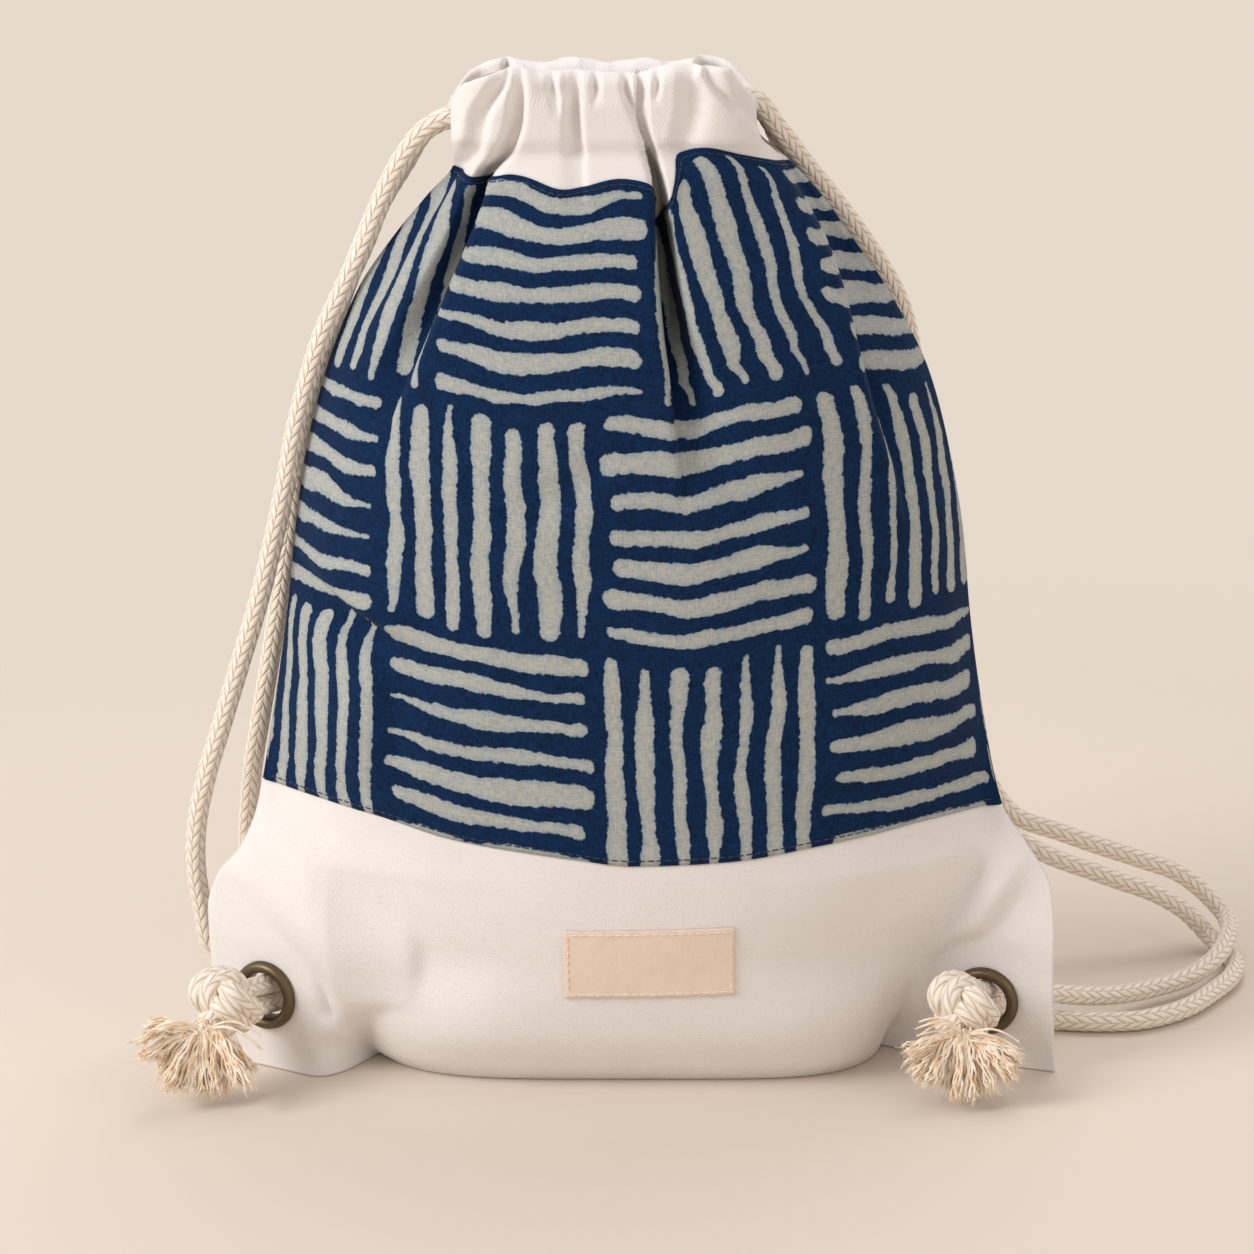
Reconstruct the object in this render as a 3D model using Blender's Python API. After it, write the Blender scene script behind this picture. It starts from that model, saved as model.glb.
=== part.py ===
# Gathered cotton drawstring backpack with rope straps, standing on its stuffed base.
# Metres, +Z up, front towards -Y, +X to the right of someone who faces the front.
# The shapes below are given in millimetres and turned to metres as each mesh is made.

import math

import bmesh
import bpy
import numpy as np
from mathutils import Matrix, Vector

for old in list(bpy.data.objects):
    bpy.data.objects.remove(old, do_unlink=True)

MM = 0.001

# Driving sizes, in millimetres
bag_height = 402.0
bag_width = 341.0
bag_depth = 132.0
cloth = 1.2
seam_gap = 0.3
band_gap = 0.5
rope_diameter = 8.0
fit_gap = 0.3
channel_clearance = 0.8
base_seam_height = 101.0
yoke_height = 41.0
channel_height = 28.0
channel_fall = 14.0
label_width = 67.0
label_height = 29.0
label_thickness = 0.6
label_turn = 0.8
label_centre = (7.6, 57.4)
eyelet_hole = 19.0
eyelet_flange = 28.5
eyelet_barrel_wall = 0.7
eyelet_dome = 3.0
washer_width = 27.0
washer_thickness = 1.0
knot_size = (28.0, 25.0, 26.0)
knot_flat = 4.0

cloth_columns = 30

rope_radius = rope_diameter / 2
barrel_radius = eyelet_hole / 2 + eyelet_barrel_wall
ear_layer = cloth + seam_gap / 2
top_seam_height = bag_height - yoke_height
channel_bottom = bag_height - channel_height

# The rope channel: two ropes run one above the other inside the folded top edge
channel_half = rope_radius + channel_clearance + cloth
rope_lane = 15.0
low_level = channel_bottom + cloth + fit_gap + rope_radius + 1.4
high_level = low_level + rope_diameter + 0.7
mouth_half = 12.2
strand_apart = rope_radius + 0.2

# Outline of the bag seen from the front: height, left edge and right edge,
# as shares of the height and of half the width
outline = [
    (0.000, -0.913, 1.004), (0.095, -0.994, 0.995), (0.155, -1.000, 0.994),
    (0.192, -0.975, 0.986), (0.222, -0.920, 0.945), (0.262, -0.880, 0.880),
    (0.347, -0.845, 0.836), (0.455, -0.804, 0.797), (0.540, -0.780, 0.776),
    (0.620, -0.751, 0.741), (0.700, -0.701, 0.689), (0.780, -0.624, 0.591),
    (0.835, -0.535, 0.500), (0.872, -0.462, 0.437), (0.905, -0.400, 0.364),
    (0.935, -0.403, 0.287), (1.000, -0.403, 0.280),
]

# Half the depth of the stuffed body against height, as a share of half the depth
depth_profile = [
    (0.000, 0.620), (0.020, 0.740), (0.055, 0.850), (0.110, 0.925), (0.200, 0.985),
    (0.330, 1.000), (0.460, 1.000), (0.600, 0.955), (0.720, 0.865), (0.820, 0.720),
    (0.890, 0.545), (0.930, 0.400), (0.950, 0.330), (1.000, 0.330),
]

# Where the flat corner ears meet the stuffed body: height and distance in from the
# side, taken at the bag's full width
crease_left = [(0.0, 66.5), (5.0, 61.5), (34.0, 49.5), (46.0, 43.5), (60.0, 33.5), (88.0, 14.5),
               (110.0, -7.5), (130.0, -27.5)]
crease_right = [(0.0, 67.5), (10.0, 63.5), (26.0, 57.5), (42.0, 49.5), (58.0, 36.5),
                (82.0, 17.5), (100.0, -1.5), (120.0, -24.5)]

# The ears are flat sheets, each turned a little about the vertical
ear_left = {"centre": (24.7 - bag_width / 2, -26.0, 31.0), "turn": math.radians(30.0)}
ear_right = {"centre": (bag_width / 2 - 26.8, -22.0, 27.0), "turn": math.radians(20.0)}

# Main folds of the front that run down from the gathers: points (drop below
# the mouth, x), depth against the same drop, width
front_valleys = [
    {"path": [(22.0, -50.0), (45.0, -54.0), (63.0, -62.7), (90.0, -77.8), (118.0, -93.5)],
     "depth": [(140.0, 0.0), (102.0, 6.0), (62.0, 15.0), (36.0, 15.0), (24.0, 6.0)], "width": 7.5},
    {"path": [(22.0, 3.5), (42.0, 5.0), (78.0, 7.5), (103.0, 10.0), (132.0, 22.0)],
     "depth": [(152.0, 0.0), (112.0, 7.0), (72.0, 19.0), (40.0, 19.0), (24.0, 7.0)], "width": 7.0},
    {"path": [(22.0, 50.0), (36.0, 56.0), (57.0, 73.0), (110.0, 89.0), (145.0, 105.0)],
     "depth": [(162.0, 0.0), (110.0, 6.0), (67.0, 8.0), (40.0, 5.0), (24.0, 0.0)], "width": 8.0},
]
back_valleys = [
    {"path": [(22.0, -34.0), (62.0, -40.0), (102.0, -52.0), (140.0, -60.0)],
     "depth": [(152.0, 0.0), (102.0, 7.0), (57.0, 15.0), (36.0, 14.0), (24.0, 6.0)], "width": 8.0},
    {"path": [(22.0, 14.0), (62.0, 18.0), (102.0, 22.0), (132.0, 26.0)],
     "depth": [(140.0, 0.0), (102.0, 8.0), (57.0, 16.0), (36.0, 15.0), (24.0, 6.0)], "width": 7.5},
]

# Ridges of the gathered channel: x of each ridge, its height and its width
front_ridges = [(-58.0, 4.0, 7.0), (-37.0, 4.5, 8.0), (-20.0, 3.0, 6.0), (-8.0, 3.5, 6.0), (14.0, 4.5, 7.0),
                (32.0, 5.0, 8.0)]
back_ridges = [(-52.0, 4.0, 7.0), (-30.0, 3.5, 7.0), (-12.0, 4.5, 7.0), (6.0, 3.5, 6.0), (26.0, 4.0, 7.0)]

# Seams between the bands: x and height of the seam against the named seam height
front_top_seam = [(-70.0, 1.0), (-54.0, -2.0), (-44.0, 1.0), (-24.0, -4.0), (-4.0, 0.0), (8.0, -5.0),
                  (27.0, 9.0), (40.0, 11.0), (62.0, 3.0)]
back_top_seam = [(-70.0, 1.0), (-40.0, 2.0), (0.0, -2.0), (40.0, 3.0), (62.0, 3.0)]
base_seam = [(-150.0, 15.0), (-129.0, 14.5), (-104.0, 12.5), (-70.0, 6.0), (-21.0, 0.5), (0.0, -2.0),
             (38.0, -1.0), (73.0, 2.5), (98.0, 4.5), (120.0, 6.0), (145.0, 5.5)]


def curve_through(points):
    """Smooth value between (position, value) pairs that never overshoots them."""
    xs = np.array([p[0] for p in points], dtype=float)
    ys = np.array([p[1] for p in points], dtype=float)
    steps = np.diff(xs)
    slopes = np.diff(ys) / steps
    tangents = np.zeros(len(xs))
    tangents[0] = slopes[0]
    tangents[-1] = slopes[-1]
    for i in range(1, len(xs) - 1):
        if slopes[i - 1] * slopes[i] > 0:
            tangents[i] = 2 * slopes[i - 1] * slopes[i] / (slopes[i - 1] + slopes[i])

    def value(x):
        x = min(max(x, xs[0]), xs[-1])
        i = int(min(max(np.searchsorted(xs, x) - 1, 0), len(steps) - 1))
        t = (x - xs[i]) / steps[i]
        low = (1 + 2 * t) * (1 - t) ** 2 * ys[i] + t * (1 - t) ** 2 * steps[i] * tangents[i]
        high = t * t * (3 - 2 * t) * ys[i + 1] + t * t * (t - 1) * steps[i] * tangents[i + 1]
        return float(low + high)

    return value


def smoothstep(low, high, x):
    t = min(max((x - low) / (high - low), 0.0), 1.0)
    return t * t * (3 - 2 * t)


left_edge = curve_through([(z * bag_height, left * bag_width / 2) for z, left, right in outline])
right_edge = curve_through([(z * bag_height, right * bag_width / 2) for z, left, right in outline])
half_depth = curve_through([(z * bag_height, d * bag_depth / 2) for z, d in depth_profile])
crease = {-1: curve_through([(z, bag_width / 2 - inset) for z, inset in crease_left]),
          1: curve_through([(z, bag_width / 2 - inset) for z, inset in crease_right])}
seams = {-1: curve_through(front_top_seam), 1: curve_through(back_top_seam)}
low_seam = curve_through(base_seam)
valleys = {-1: front_valleys, 1: back_valleys}
ridges = {-1: front_ridges, 1: back_ridges}
for side in (-1, 1):
    for valley in valleys[side]:
        valley["x_at"] = curve_through(sorted((bag_height - drop, x) for drop, x in valley["path"]))
        valley["depth_at"] = curve_through(sorted((bag_height - drop, d) for drop, d in valley["depth"]))


def width_at(s, z):
    """x of the cloth at share s from the left edge (-1) to the right edge (1)."""
    left, right = left_edge(z), right_edge(z)
    return (left + right) / 2 + s * (right - left) / 2


def ear_plane(x, z):
    """Middle surface between front and back: flat at the sides, turned in the ears."""
    ear = ear_left if x < 0 else ear_right
    cx, cy, cz = ear["centre"]
    flat = cy - math.tan(ear["turn"]) * (x - cx)
    inset = bag_width / 2 - abs(x)
    outward = 1.0 - (smoothstep(41.5, 78.5, inset) if x < 0 else smoothstep(44.5, 80.5, inset))
    low = 1.0 - smoothstep(50.0, 150.0, z)
    return flat * outward * low


def lean_factor(x, z):
    """How much longer a sheet's thickness is along Y than square to the middle surface."""
    step = 0.5
    across = (ear_plane(x + step, z) - ear_plane(x - step, z)) / (2 * step)
    along = (ear_plane(x, z + step) - ear_plane(x, z - step)) / (2 * step)
    return math.sqrt(1.0 + across * across + along * along)


def bulge(side, x, z):
    """How far the outer face of the cloth stands from the middle surface."""
    left, right = left_edge(z), right_edge(z)
    middle = (left + right) / 2
    ear_side = -1 if x < middle else 1
    edge = abs((left if ear_side < 0 else right) - middle)
    reach = min(edge, crease[ear_side](z) + ear_side * -middle)
    s = min(abs(x - middle) / reach, 1.0)
    neck = smoothstep(top_seam_height - 11.0, channel_bottom + 11.0, z)
    boxy = 2.3 + 2.7 * (1.0 - smoothstep(0.0, 58.0, z)) + 2.5 * neck
    power = 0.58 + 0.28 * smoothstep(25.0, 60.0, z) * (1.0 - smoothstep(95.0, 150.0, z))
    depth = half_depth(z) * (1.0 - s ** boxy) ** power
    for valley in valleys[side]:
        off = (x - valley["x_at"](z)) / valley["width"]
        depth -= valley["depth_at"](z) * math.exp(-off * off)
    if side < 0:
        ahead = abs(ear_plane(x, z))
        depth = (depth - ahead + math.hypot(depth - ahead, min(ahead, 5.0))) / 2
    body = math.hypot(max(depth, 0.0), ear_layer * lean_factor(x, z))
    end = min(1.0, abs(x - middle) / edge)
    lane = rope_lane + channel_half + fit_gap
    channel = mouth_half + (lane - mouth_half) * (1.0 - end ** 8) ** 0.6
    mouth = smoothstep(top_seam_height + 1.0, channel_bottom + 2.0, z)
    stand = body * (1.0 - mouth) + channel * mouth
    gather = smoothstep(top_seam_height - 31.0, channel_bottom + 10.0, z)
    for place, height, width in ridges[side]:
        off = (x - place) / width
        stand += gather * height * math.exp(-off * off)
    return stand


def skin(side, s, z):
    """Point of the outer face of the bag, front (side -1) or back (side 1)."""
    x = width_at(s, z)
    return Vector((x, ear_plane(x, z) + side * bulge(side, x, z), z))


def spread(i, n):
    """Share across the cloth of column i of n, closer together towards the sides."""
    u = -1.0 + 2.0 * i / n
    return 0.55 * math.sin(math.pi / 2 * u) + 0.45 * u


def skin_normal(side, s, z):
    """Outward normal of the outer face at share s and height z."""
    across = skin(side, s + 0.003, z) - skin(side, s - 0.003, z)
    along = skin(side, s, z + 0.4) - skin(side, s, z - 0.4)
    return across.cross(along).normalized() * -side


def normals_of(grid, side):
    """Outward normals of a grid of points whose rows run upwards on the outer face."""
    rows, cols = len(grid), len(grid[0])
    result = []
    for r in range(rows):
        line = []
        for c in range(cols):
            across = grid[r][min(c + 1, cols - 1)] - grid[r][max(c - 1, 0)]
            along = grid[min(r + 1, rows - 1)][c] - grid[max(r - 1, 0)][c]
            n = along.cross(across)
            if side < 0:
                n = across.cross(along)
            line.append(n.normalized())
        result.append(line)
    return result


def grid_mesh(bm, points, flip):
    """Add a bmesh grid whose vertices are moved to the rows and columns of points."""
    rows, cols = len(points), len(points[0])
    made = bmesh.ops.create_grid(bm, x_segments=cols - 1, y_segments=rows - 1, size=1.0)["verts"]
    ordered = sorted(made, key=lambda v: (round(v.co.y, 5), round(v.co.x, 5)))
    for index, vert in enumerate(ordered):
        vert.co = points[index // cols][index % cols] * MM
    faces = list({f for v in made for f in v.link_faces})
    if flip:
        bmesh.ops.reverse_faces(bm, faces=faces)
    return faces


def border(faces):
    return [e for e in {e for f in faces for e in f.edges} if e.is_boundary]


def cloth_piece(name, outer, inner, side, colour):
    """A sheet of cloth as one closed body between its outer and inner faces."""
    bm = bmesh.new()
    outside = grid_mesh(bm, outer, side > 0)
    inside = grid_mesh(bm, inner, side < 0)
    bmesh.ops.bridge_loops(bm, edges=border(outside) + border(inside))
    bmesh.ops.recalc_face_normals(bm, faces=bm.faces[:])
    return finish(name, bm, colour)


def material(name, colour, roughness, metallic=0.0):
    made = bpy.data.materials.new(name)
    made.use_nodes = True
    shader = made.node_tree.nodes["Principled BSDF"]
    shader.inputs["Base Color"].default_value = (*colour, 1.0)
    shader.inputs["Roughness"].default_value = roughness
    shader.inputs["Metallic"].default_value = metallic
    return made


def finish(name, bm, look):
    """Turn a bmesh into a named object with its material, rounded parts shaded smooth."""
    mesh = bpy.data.meshes.new(name)
    bm.to_mesh(mesh)
    bm.free()
    mesh.shade_smooth()
    mesh.set_sharp_from_angle(angle=math.radians(40.0))
    thing = bpy.data.objects.new(name, mesh)
    thing.data.materials.append(look)
    bpy.context.scene.collection.objects.link(thing)
    return thing


def offset_grid(outer, side, rims):
    """Inner face of a sheet: the outer face moved in by the cloth's thickness. Rims gives the
    rows at seams whose normals are those of the skin; in the ears the step is along Y."""
    normal = normals_of(outer, side)
    inner = []
    for r, line in enumerate(outer):
        row = []
        for c, point in enumerate(line):
            lean = lean_factor(point.x, point.z)
            n = skin_normal(side, spread(c, cloth_columns), point.z) if r in rims else normal[r][c]
            stand = side * (point.y - ear_plane(point.x, point.z)) / lean
            square = Vector((0.0, side * lean, 0.0))
            if point.z < channel_bottom:
                n = square.lerp(n, smoothstep(0.5, 8.0, stand - ear_layer))
            if c in (0, len(line) - 1):
                n = square
            row.append(point - n * cloth)
        inner.append(row)
    return inner


def top_seam_at(side, x):
    return top_seam_height + seams[side](x)


def low_seam_at(x):
    return base_seam_height + low_seam(x)


def seam_point(side, s, seam):
    """Height of a seam in the column at share s."""
    z = seam(width_at(s, base_seam_height if seam is low_seam_at else top_seam_height))
    return z


# The printed panels: rows of points from the lower seam to the upper seam
def print_panel(name, side, look):
    columns, rows = cloth_columns, 12
    outer = []
    for r in range(rows + 1):
        line = []
        for c in range(columns + 1):
            s = spread(c, columns)
            bottom = seam_point(side, s, low_seam_at) + band_gap / 2
            top = seam_point(side, s, lambda x: top_seam_at(side, x)) - band_gap / 2
            line.append(skin(side, s, bottom + (top - bottom) * r / rows))
        outer.append(line)
    return cloth_piece(name, outer, offset_grid(outer, side, (0, rows)), side, look)


# The base panels: down the face from the lower seam, round the foot, then along
# the underside to the bottom seam; in the ears the underside is only the cloth's edge
def base_panel(name, side, look):
    columns = cloth_columns
    face_shares = [1.0, 0.84, 0.68, 0.53, 0.4, 0.28, 0.18, 0.1, 0.045, 0.0]
    foot_shares = [0.62, 0.3, 0.0]
    outer = []
    for share in face_shares:
        line = []
        for c in range(columns + 1):
            s = spread(c, columns)
            top = seam_point(side, s, low_seam_at) - band_gap / 2
            line.append(skin(side, s, top * share))
        outer.append(line)
    inner = offset_grid(outer[::-1], side, (len(outer) - 1,))[::-1]
    corner = len(face_shares) - 1
    under_outer = []
    under_inner = []
    for share in [1.0] + foot_shares:
        line_out = []
        line_in = []
        for c in range(columns + 1):
            edge = outer[corner][c]
            middle = ear_plane(edge.x, 0.0)
            stand = side * (edge.y - middle)
            lean = lean_factor(edge.x, 0.0)
            flat = seam_gap / 2 * lean
            inset = max(stand - cloth * lean, flat)
            in_ear = 1.0 - smoothstep(0.5, 6.0, inset - flat)
            line_out.append(Vector((edge.x, middle + side * (flat + (stand - flat) * share), 0.0)))
            depth_in = flat + (inset - flat) * share
            line_in.append(Vector((edge.x, middle + side * depth_in, cloth + in_ear * share)))
        under_outer.append(line_out)
        under_inner.append(line_in)
    outer = outer[:corner] + under_outer
    inner = inner[:corner] + under_inner
    panel = cloth_piece(name, outer, inner, side, look)
    for ear, key in ((ear_left, -1), (ear_right, 1)):
        cut_hole(panel, ear, key, side)
    return panel


def ear_frame(ear, key):
    """Matrix whose +Z leaves the front of the ear at its eyelet and whose +Y points up."""
    cx, cy, cz = ear["centre"]
    out = Vector((-math.sin(ear["turn"]), -math.cos(ear["turn"]), 0.0))
    up = Vector((0.0, 0.0, 1.0))
    right = up.cross(out)
    turn = Matrix((right, up, out)).transposed().to_4x4()
    return Matrix.Translation(Vector((cx, cy, cz)) * MM) @ turn


# The punched hole of an ear, wide enough for the eyelet's barrel
def cut_hole(panel, ear, key, side):
    bm = bmesh.new()
    radius = (barrel_radius + fit_gap) * MM
    bmesh.ops.create_cone(bm, cap_ends=True, segments=28, radius1=radius, radius2=radius, depth=40 * MM)
    bmesh.ops.transform(bm, matrix=ear_frame(ear, key), verts=bm.verts[:])
    cutter = finish("hole_cutter_" + panel.name + ("_left" if key < 0 else "_right"), bm, white_cloth)
    cutter.hide_render = True
    cutter.display_type = "WIRE"
    hole = panel.modifiers.new("eyelet hole", "BOOLEAN")
    hole.operation = "DIFFERENCE"
    hole.solver = "MANIFOLD"
    hole.object = cutter


# The gathered top: from the upper seam up the outer face, over the top, down inside and
# back to the wall, where it is stitched; near the side openings the inner leg is short
def channel_path(side, s):
    foot = seam_point(side, s, lambda x: top_seam_at(side, x)) + band_gap / 2
    hook = 1.0 - smoothstep(0.43, 0.50, abs(s))
    rise = smoothstep(0.505, 0.575, abs(s))
    end = smoothstep(0.58, 0.645, abs(s))
    fall = channel_fall * (1.0 - math.sqrt(1.0 - 0.999 * min(max((abs(s) - 0.55) / 0.45, 0.0), 1.0) ** 2))
    wave = (1.4 * math.sin(7.0 * s + 1.3 * side) + 0.9 * math.sin(17.0 * s + side)) * (1 - rise) + 3.0 * rise
    gap_half = channel_half * (1 - end) + 2.6 * end
    shoulder = bag_height - 2.5 + wave - gap_half - fall

    def wall(z):
        return bulge(side, width_at(s, z), z)

    heights = [foot, foot + (channel_bottom - foot) * 0.55]
    heights += [channel_bottom + (shoulder - channel_bottom) * share for share in (0.0, 0.2, 0.45, 0.7, 1.0)]
    path = [(wall(z), z) for z in heights]
    outer_y = wall(shoulder)
    inner_y = (rope_lane - channel_half) * (1 - end) + (outer_y - 2 * gap_half) * end
    middle = (outer_y + inner_y) / 2
    half = (outer_y - inner_y) / 2
    for angle in (40, 75, 105, 140):
        a = math.radians(angle)
        path.append((middle + half * math.cos(a), shoulder + gap_half * math.sin(a)))
    leg_end = (channel_bottom + 4.0) * (1 - rise) + (shoulder - 1.0) * rise
    for share in (0.0, 0.33, 0.66, 1.0):
        path.append((inner_y, shoulder + (leg_end - shoulder) * share))
    reach = hook * (wall(channel_bottom) - cloth - seam_gap - inner_y)
    for share, drop in ((0.28, 2.4), (0.62, 3.6), (1.0, 4.0)):
        path.append((inner_y + share * reach, leg_end - drop * hook - 0.3 * drop * (1 - hook)))
    return path


def top_band(name, side, look):
    columns = cloth_columns
    paths = [channel_path(side, spread(c, columns)) for c in range(columns + 1)]
    outer = []
    for r in range(len(paths[0])):
        line = []
        for c in range(columns + 1):
            stand, z = paths[c][r]
            x = width_at(spread(c, columns), z)
            line.append(Vector((x, side * stand, z)))
        outer.append(line)
    return cloth_piece(name, outer, offset_grid(outer, side, (0,)), side, look)


# The label: a thin cloth patch that follows the face of the base
def cloth_label(name, look):
    columns, rows = 10, 5
    cx, cz = label_centre
    turn = math.radians(label_turn)
    outer = []
    inner = []
    for r in range(rows + 1):
        line_out = []
        line_in = []
        for c in range(columns + 1):
            u = (c / columns - 0.5) * label_width
            v = (r / rows - 0.5) * label_height
            x = cx + u * math.cos(turn) - v * math.sin(turn)
            z = cz + u * math.sin(turn) + v * math.cos(turn)
            step = 0.5
            here = Vector((x, -bulge(-1, x, z), z))
            right = Vector((x + step, -bulge(-1, x + step, z), z))
            above = Vector((x, -bulge(-1, x, z + step), z + step))
            n = (right - here).cross(above - here).normalized()
            line_in.append(here + n * fit_gap)
            line_out.append(here + n * (fit_gap + label_thickness))
        outer.append(line_out)
        inner.append(line_in)
    return cloth_piece(name, outer, inner, -1, look)


def lathe(profile, frame, steps=24):
    """Closed ring or dome turned about +Z from (radius, height) points, then placed by frame."""
    bm = bmesh.new()
    verts = [bm.verts.new((r * MM, 0.0, h * MM)) for r, h in profile]
    edges = [bm.edges.new((verts[i], verts[(i + 1) % len(verts)])) for i in range(len(verts))]
    bmesh.ops.spin(bm, geom=verts + edges, cent=(0, 0, 0), axis=(0, 0, 1), angle=2 * math.pi,
                   steps=steps, use_merge=True)
    bmesh.ops.remove_doubles(bm, verts=bm.verts[:], dist=1e-6)
    bmesh.ops.recalc_face_normals(bm, faces=bm.faces[:])
    bmesh.ops.transform(bm, matrix=frame, verts=bm.verts[:])
    return bm


# Eyelet face: domed flange on the front, barrel through both layers, lip rolled over the washer
def eyelet_face(name, frame, look):
    hole = eyelet_hole / 2
    rim = eyelet_flange / 2
    seat = ear_layer + fit_gap
    middle = (hole + rim) / 2
    back = -(seat + washer_thickness + fit_gap)
    lip = barrel_radius + 2.0
    profile = [
        (hole, seat + 0.35 * eyelet_dome), (hole + 0.5, seat + 0.75 * eyelet_dome),
        (middle - 0.9, seat + eyelet_dome), (middle + 0.7, seat + eyelet_dome),
        (rim - 0.9, seat + 0.7 * eyelet_dome), (rim, seat + 0.2 * eyelet_dome), (rim - 0.2, seat),
        (barrel_radius, seat), (barrel_radius, back), (lip, back), (lip + 0.1, back - 0.4),
        (lip - 0.6, back - eyelet_barrel_wall), (barrel_radius - 0.2, back - eyelet_barrel_wall),
        (hole, back + 0.3),
    ]
    return finish(name, lathe(profile, frame), look)


# Eyelet washer: a flat ring with a slightly raised outer edge behind the ear
def eyelet_washer(name, frame, look):
    inner = barrel_radius + fit_gap
    outer = washer_width / 2
    front = -(ear_layer + fit_gap)
    back = front - washer_thickness
    profile = [(inner, front), (inner, back), (outer - 0.5, back), (outer, back + 0.4), (outer, front)]
    return finish(name, lathe(profile, frame), look)


def smooth_route(points, spacing):
    """Evenly spaced points on a smooth curve through the route's own points."""
    route = [Vector(p) for p in points]
    chords = [(b - a).length for a, b in zip(route, route[1:])]
    ways = [(b - a).normalized() for a, b in zip(route, route[1:])]
    tangents = [ways[0]]
    for i in range(1, len(route) - 1):
        share = chords[i - 1] / (chords[i - 1] + chords[i])
        tangents.append(ways[i - 1].lerp(ways[i], share))
    tangents.append(ways[-1])
    fine = []
    for i, chord in enumerate(chords):
        for k in range(24):
            t = k / 24
            low = route[i] * (1 + 2 * t) * (1 - t) ** 2 + tangents[i] * chord * t * (1 - t) ** 2
            high = route[i + 1] * t * t * (3 - 2 * t) + tangents[i + 1] * chord * t * t * (t - 1)
            fine.append(low + high)
    fine.append(route[-1])
    lengths = np.concatenate([[0.0], np.cumsum([(b - a).length for a, b in zip(fine, fine[1:])])])
    count = int(round(lengths[-1] / spacing))
    result = []
    for k in range(count + 1):
        target = lengths[-1] * k / count
        i = int(min(max(np.searchsorted(lengths, target) - 1, 0), len(fine) - 2))
        t = (target - lengths[i]) / max(lengths[i + 1] - lengths[i], 1e-9)
        result.append(fine[i].lerp(fine[i + 1], t))
    return result


def rope(name, route, look):
    points = smooth_route(route, rope_diameter * 2.6)
    data = bpy.data.curves.new(name, "CURVE")
    data.dimensions = "3D"
    data.bevel_depth = rope_radius * MM
    data.bevel_resolution = 2
    data.use_fill_caps = True
    data.render_resolution_u = 0
    spline = data.splines.new("POLY")
    spline.points.add(len(points) - 1)
    for point, place in zip(spline.points, points):
        point.co = (*(place * MM), 1.0)
    thing = bpy.data.objects.new(name, data)
    thing.data.materials.append(look)
    bpy.context.scene.collection.objects.link(thing)
    return thing


left_knot_centre = Vector(ear_left["centre"]) + Vector((-14.7, -27.0, 5.0))
right_knot_centre = Vector(ear_right["centre"]) + Vector((-12.2, -30.0, 6.5))


def knot_axis(knot_centre, ear):
    """Direction from the eyelet to the knot."""
    return (knot_centre - Vector(ear["centre"])).normalized()


def knot_frame(knot_centre, ear):
    axis = knot_axis(knot_centre, ear)
    up = (Vector((0, 0, 1)) - axis * axis.z).normalized()
    right = up.cross(axis)
    return Matrix.Translation(knot_centre * MM) @ Matrix((right, up, axis)).transposed().to_4x4()


# Knot: a ball flattened where the two strands come in
def knot(name, knot_centre, ear, look):
    bm = bmesh.new()
    bmesh.ops.create_uvsphere(bm, u_segments=20, v_segments=12, radius=1.0)
    size = Vector((knot_size[0] / 2, knot_size[1] / 2, knot_size[2] / 2)) * MM
    bmesh.ops.scale(bm, vec=size, verts=bm.verts[:])
    cut = (-knot_size[2] / 2 + knot_flat) * MM
    cutting = bmesh.ops.bisect_plane(bm, geom=bm.verts[:] + bm.edges[:] + bm.faces[:],
                                     plane_co=(0, 0, cut), plane_no=(0, 0, -1), clear_outer=True)
    rim = [e for e in cutting["geom_cut"] if isinstance(e, bmesh.types.BMEdge)]
    bmesh.ops.contextual_create(bm, geom=rim)
    bmesh.ops.transform(bm, matrix=knot_frame(knot_centre, ear), verts=bm.verts[:])
    return finish(name, bm, look)


# Tassel: the frayed rope ends, a flared brush that starts at the knot's underside
def tassel(name, start, tip, spread_radius, neck_radius, look):
    axis = tip - start
    length = axis.length
    profile = [(neck_radius, 0.0), (neck_radius * 1.12, 0.1), (neck_radius * 1.5, 0.3),
               (spread_radius * 0.86, 0.6), (spread_radius, 0.85), (spread_radius * 0.93, 0.97),
               (spread_radius * 0.6, 1.0)]
    bm = bmesh.new()
    verts = [bm.verts.new((r * MM, 0.0, h * length * MM)) for r, h in profile]
    edges = [bm.edges.new((a, b)) for a, b in zip(verts, verts[1:])]
    bmesh.ops.spin(bm, geom=verts + edges, cent=(0, 0, 0), axis=(0, 0, 1), angle=2 * math.pi,
                   steps=18, use_merge=True)
    bmesh.ops.remove_doubles(bm, verts=bm.verts[:], dist=1e-6)
    bmesh.ops.holes_fill(bm, edges=[e for e in bm.edges if e.is_boundary], sides=0)
    bmesh.ops.recalc_face_normals(bm, faces=bm.faces[:])
    turn = Vector((0, 0, 1)).rotation_difference(axis.normalized()).to_matrix().to_4x4()
    place = Matrix.Translation(start * MM) @ turn
    bmesh.ops.transform(bm, matrix=place, verts=bm.verts[:])
    return finish(name, bm, look)


white_cloth = material("white cotton twill", (0.86, 0.80, 0.72), 0.85)
indigo_cloth = material("indigo printed cotton", (0.02, 0.08, 0.22), 0.85)
label_cloth = material("cream label cloth", (0.80, 0.66, 0.48), 0.85)
brass = material("antique brass", (0.15, 0.09, 0.04), 0.4, 1.0)
cotton_rope = material("braided cotton", (0.80, 0.69, 0.54), 0.9)
cotton_fray = material("frayed cotton", (0.84, 0.72, 0.56), 0.95)

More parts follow.
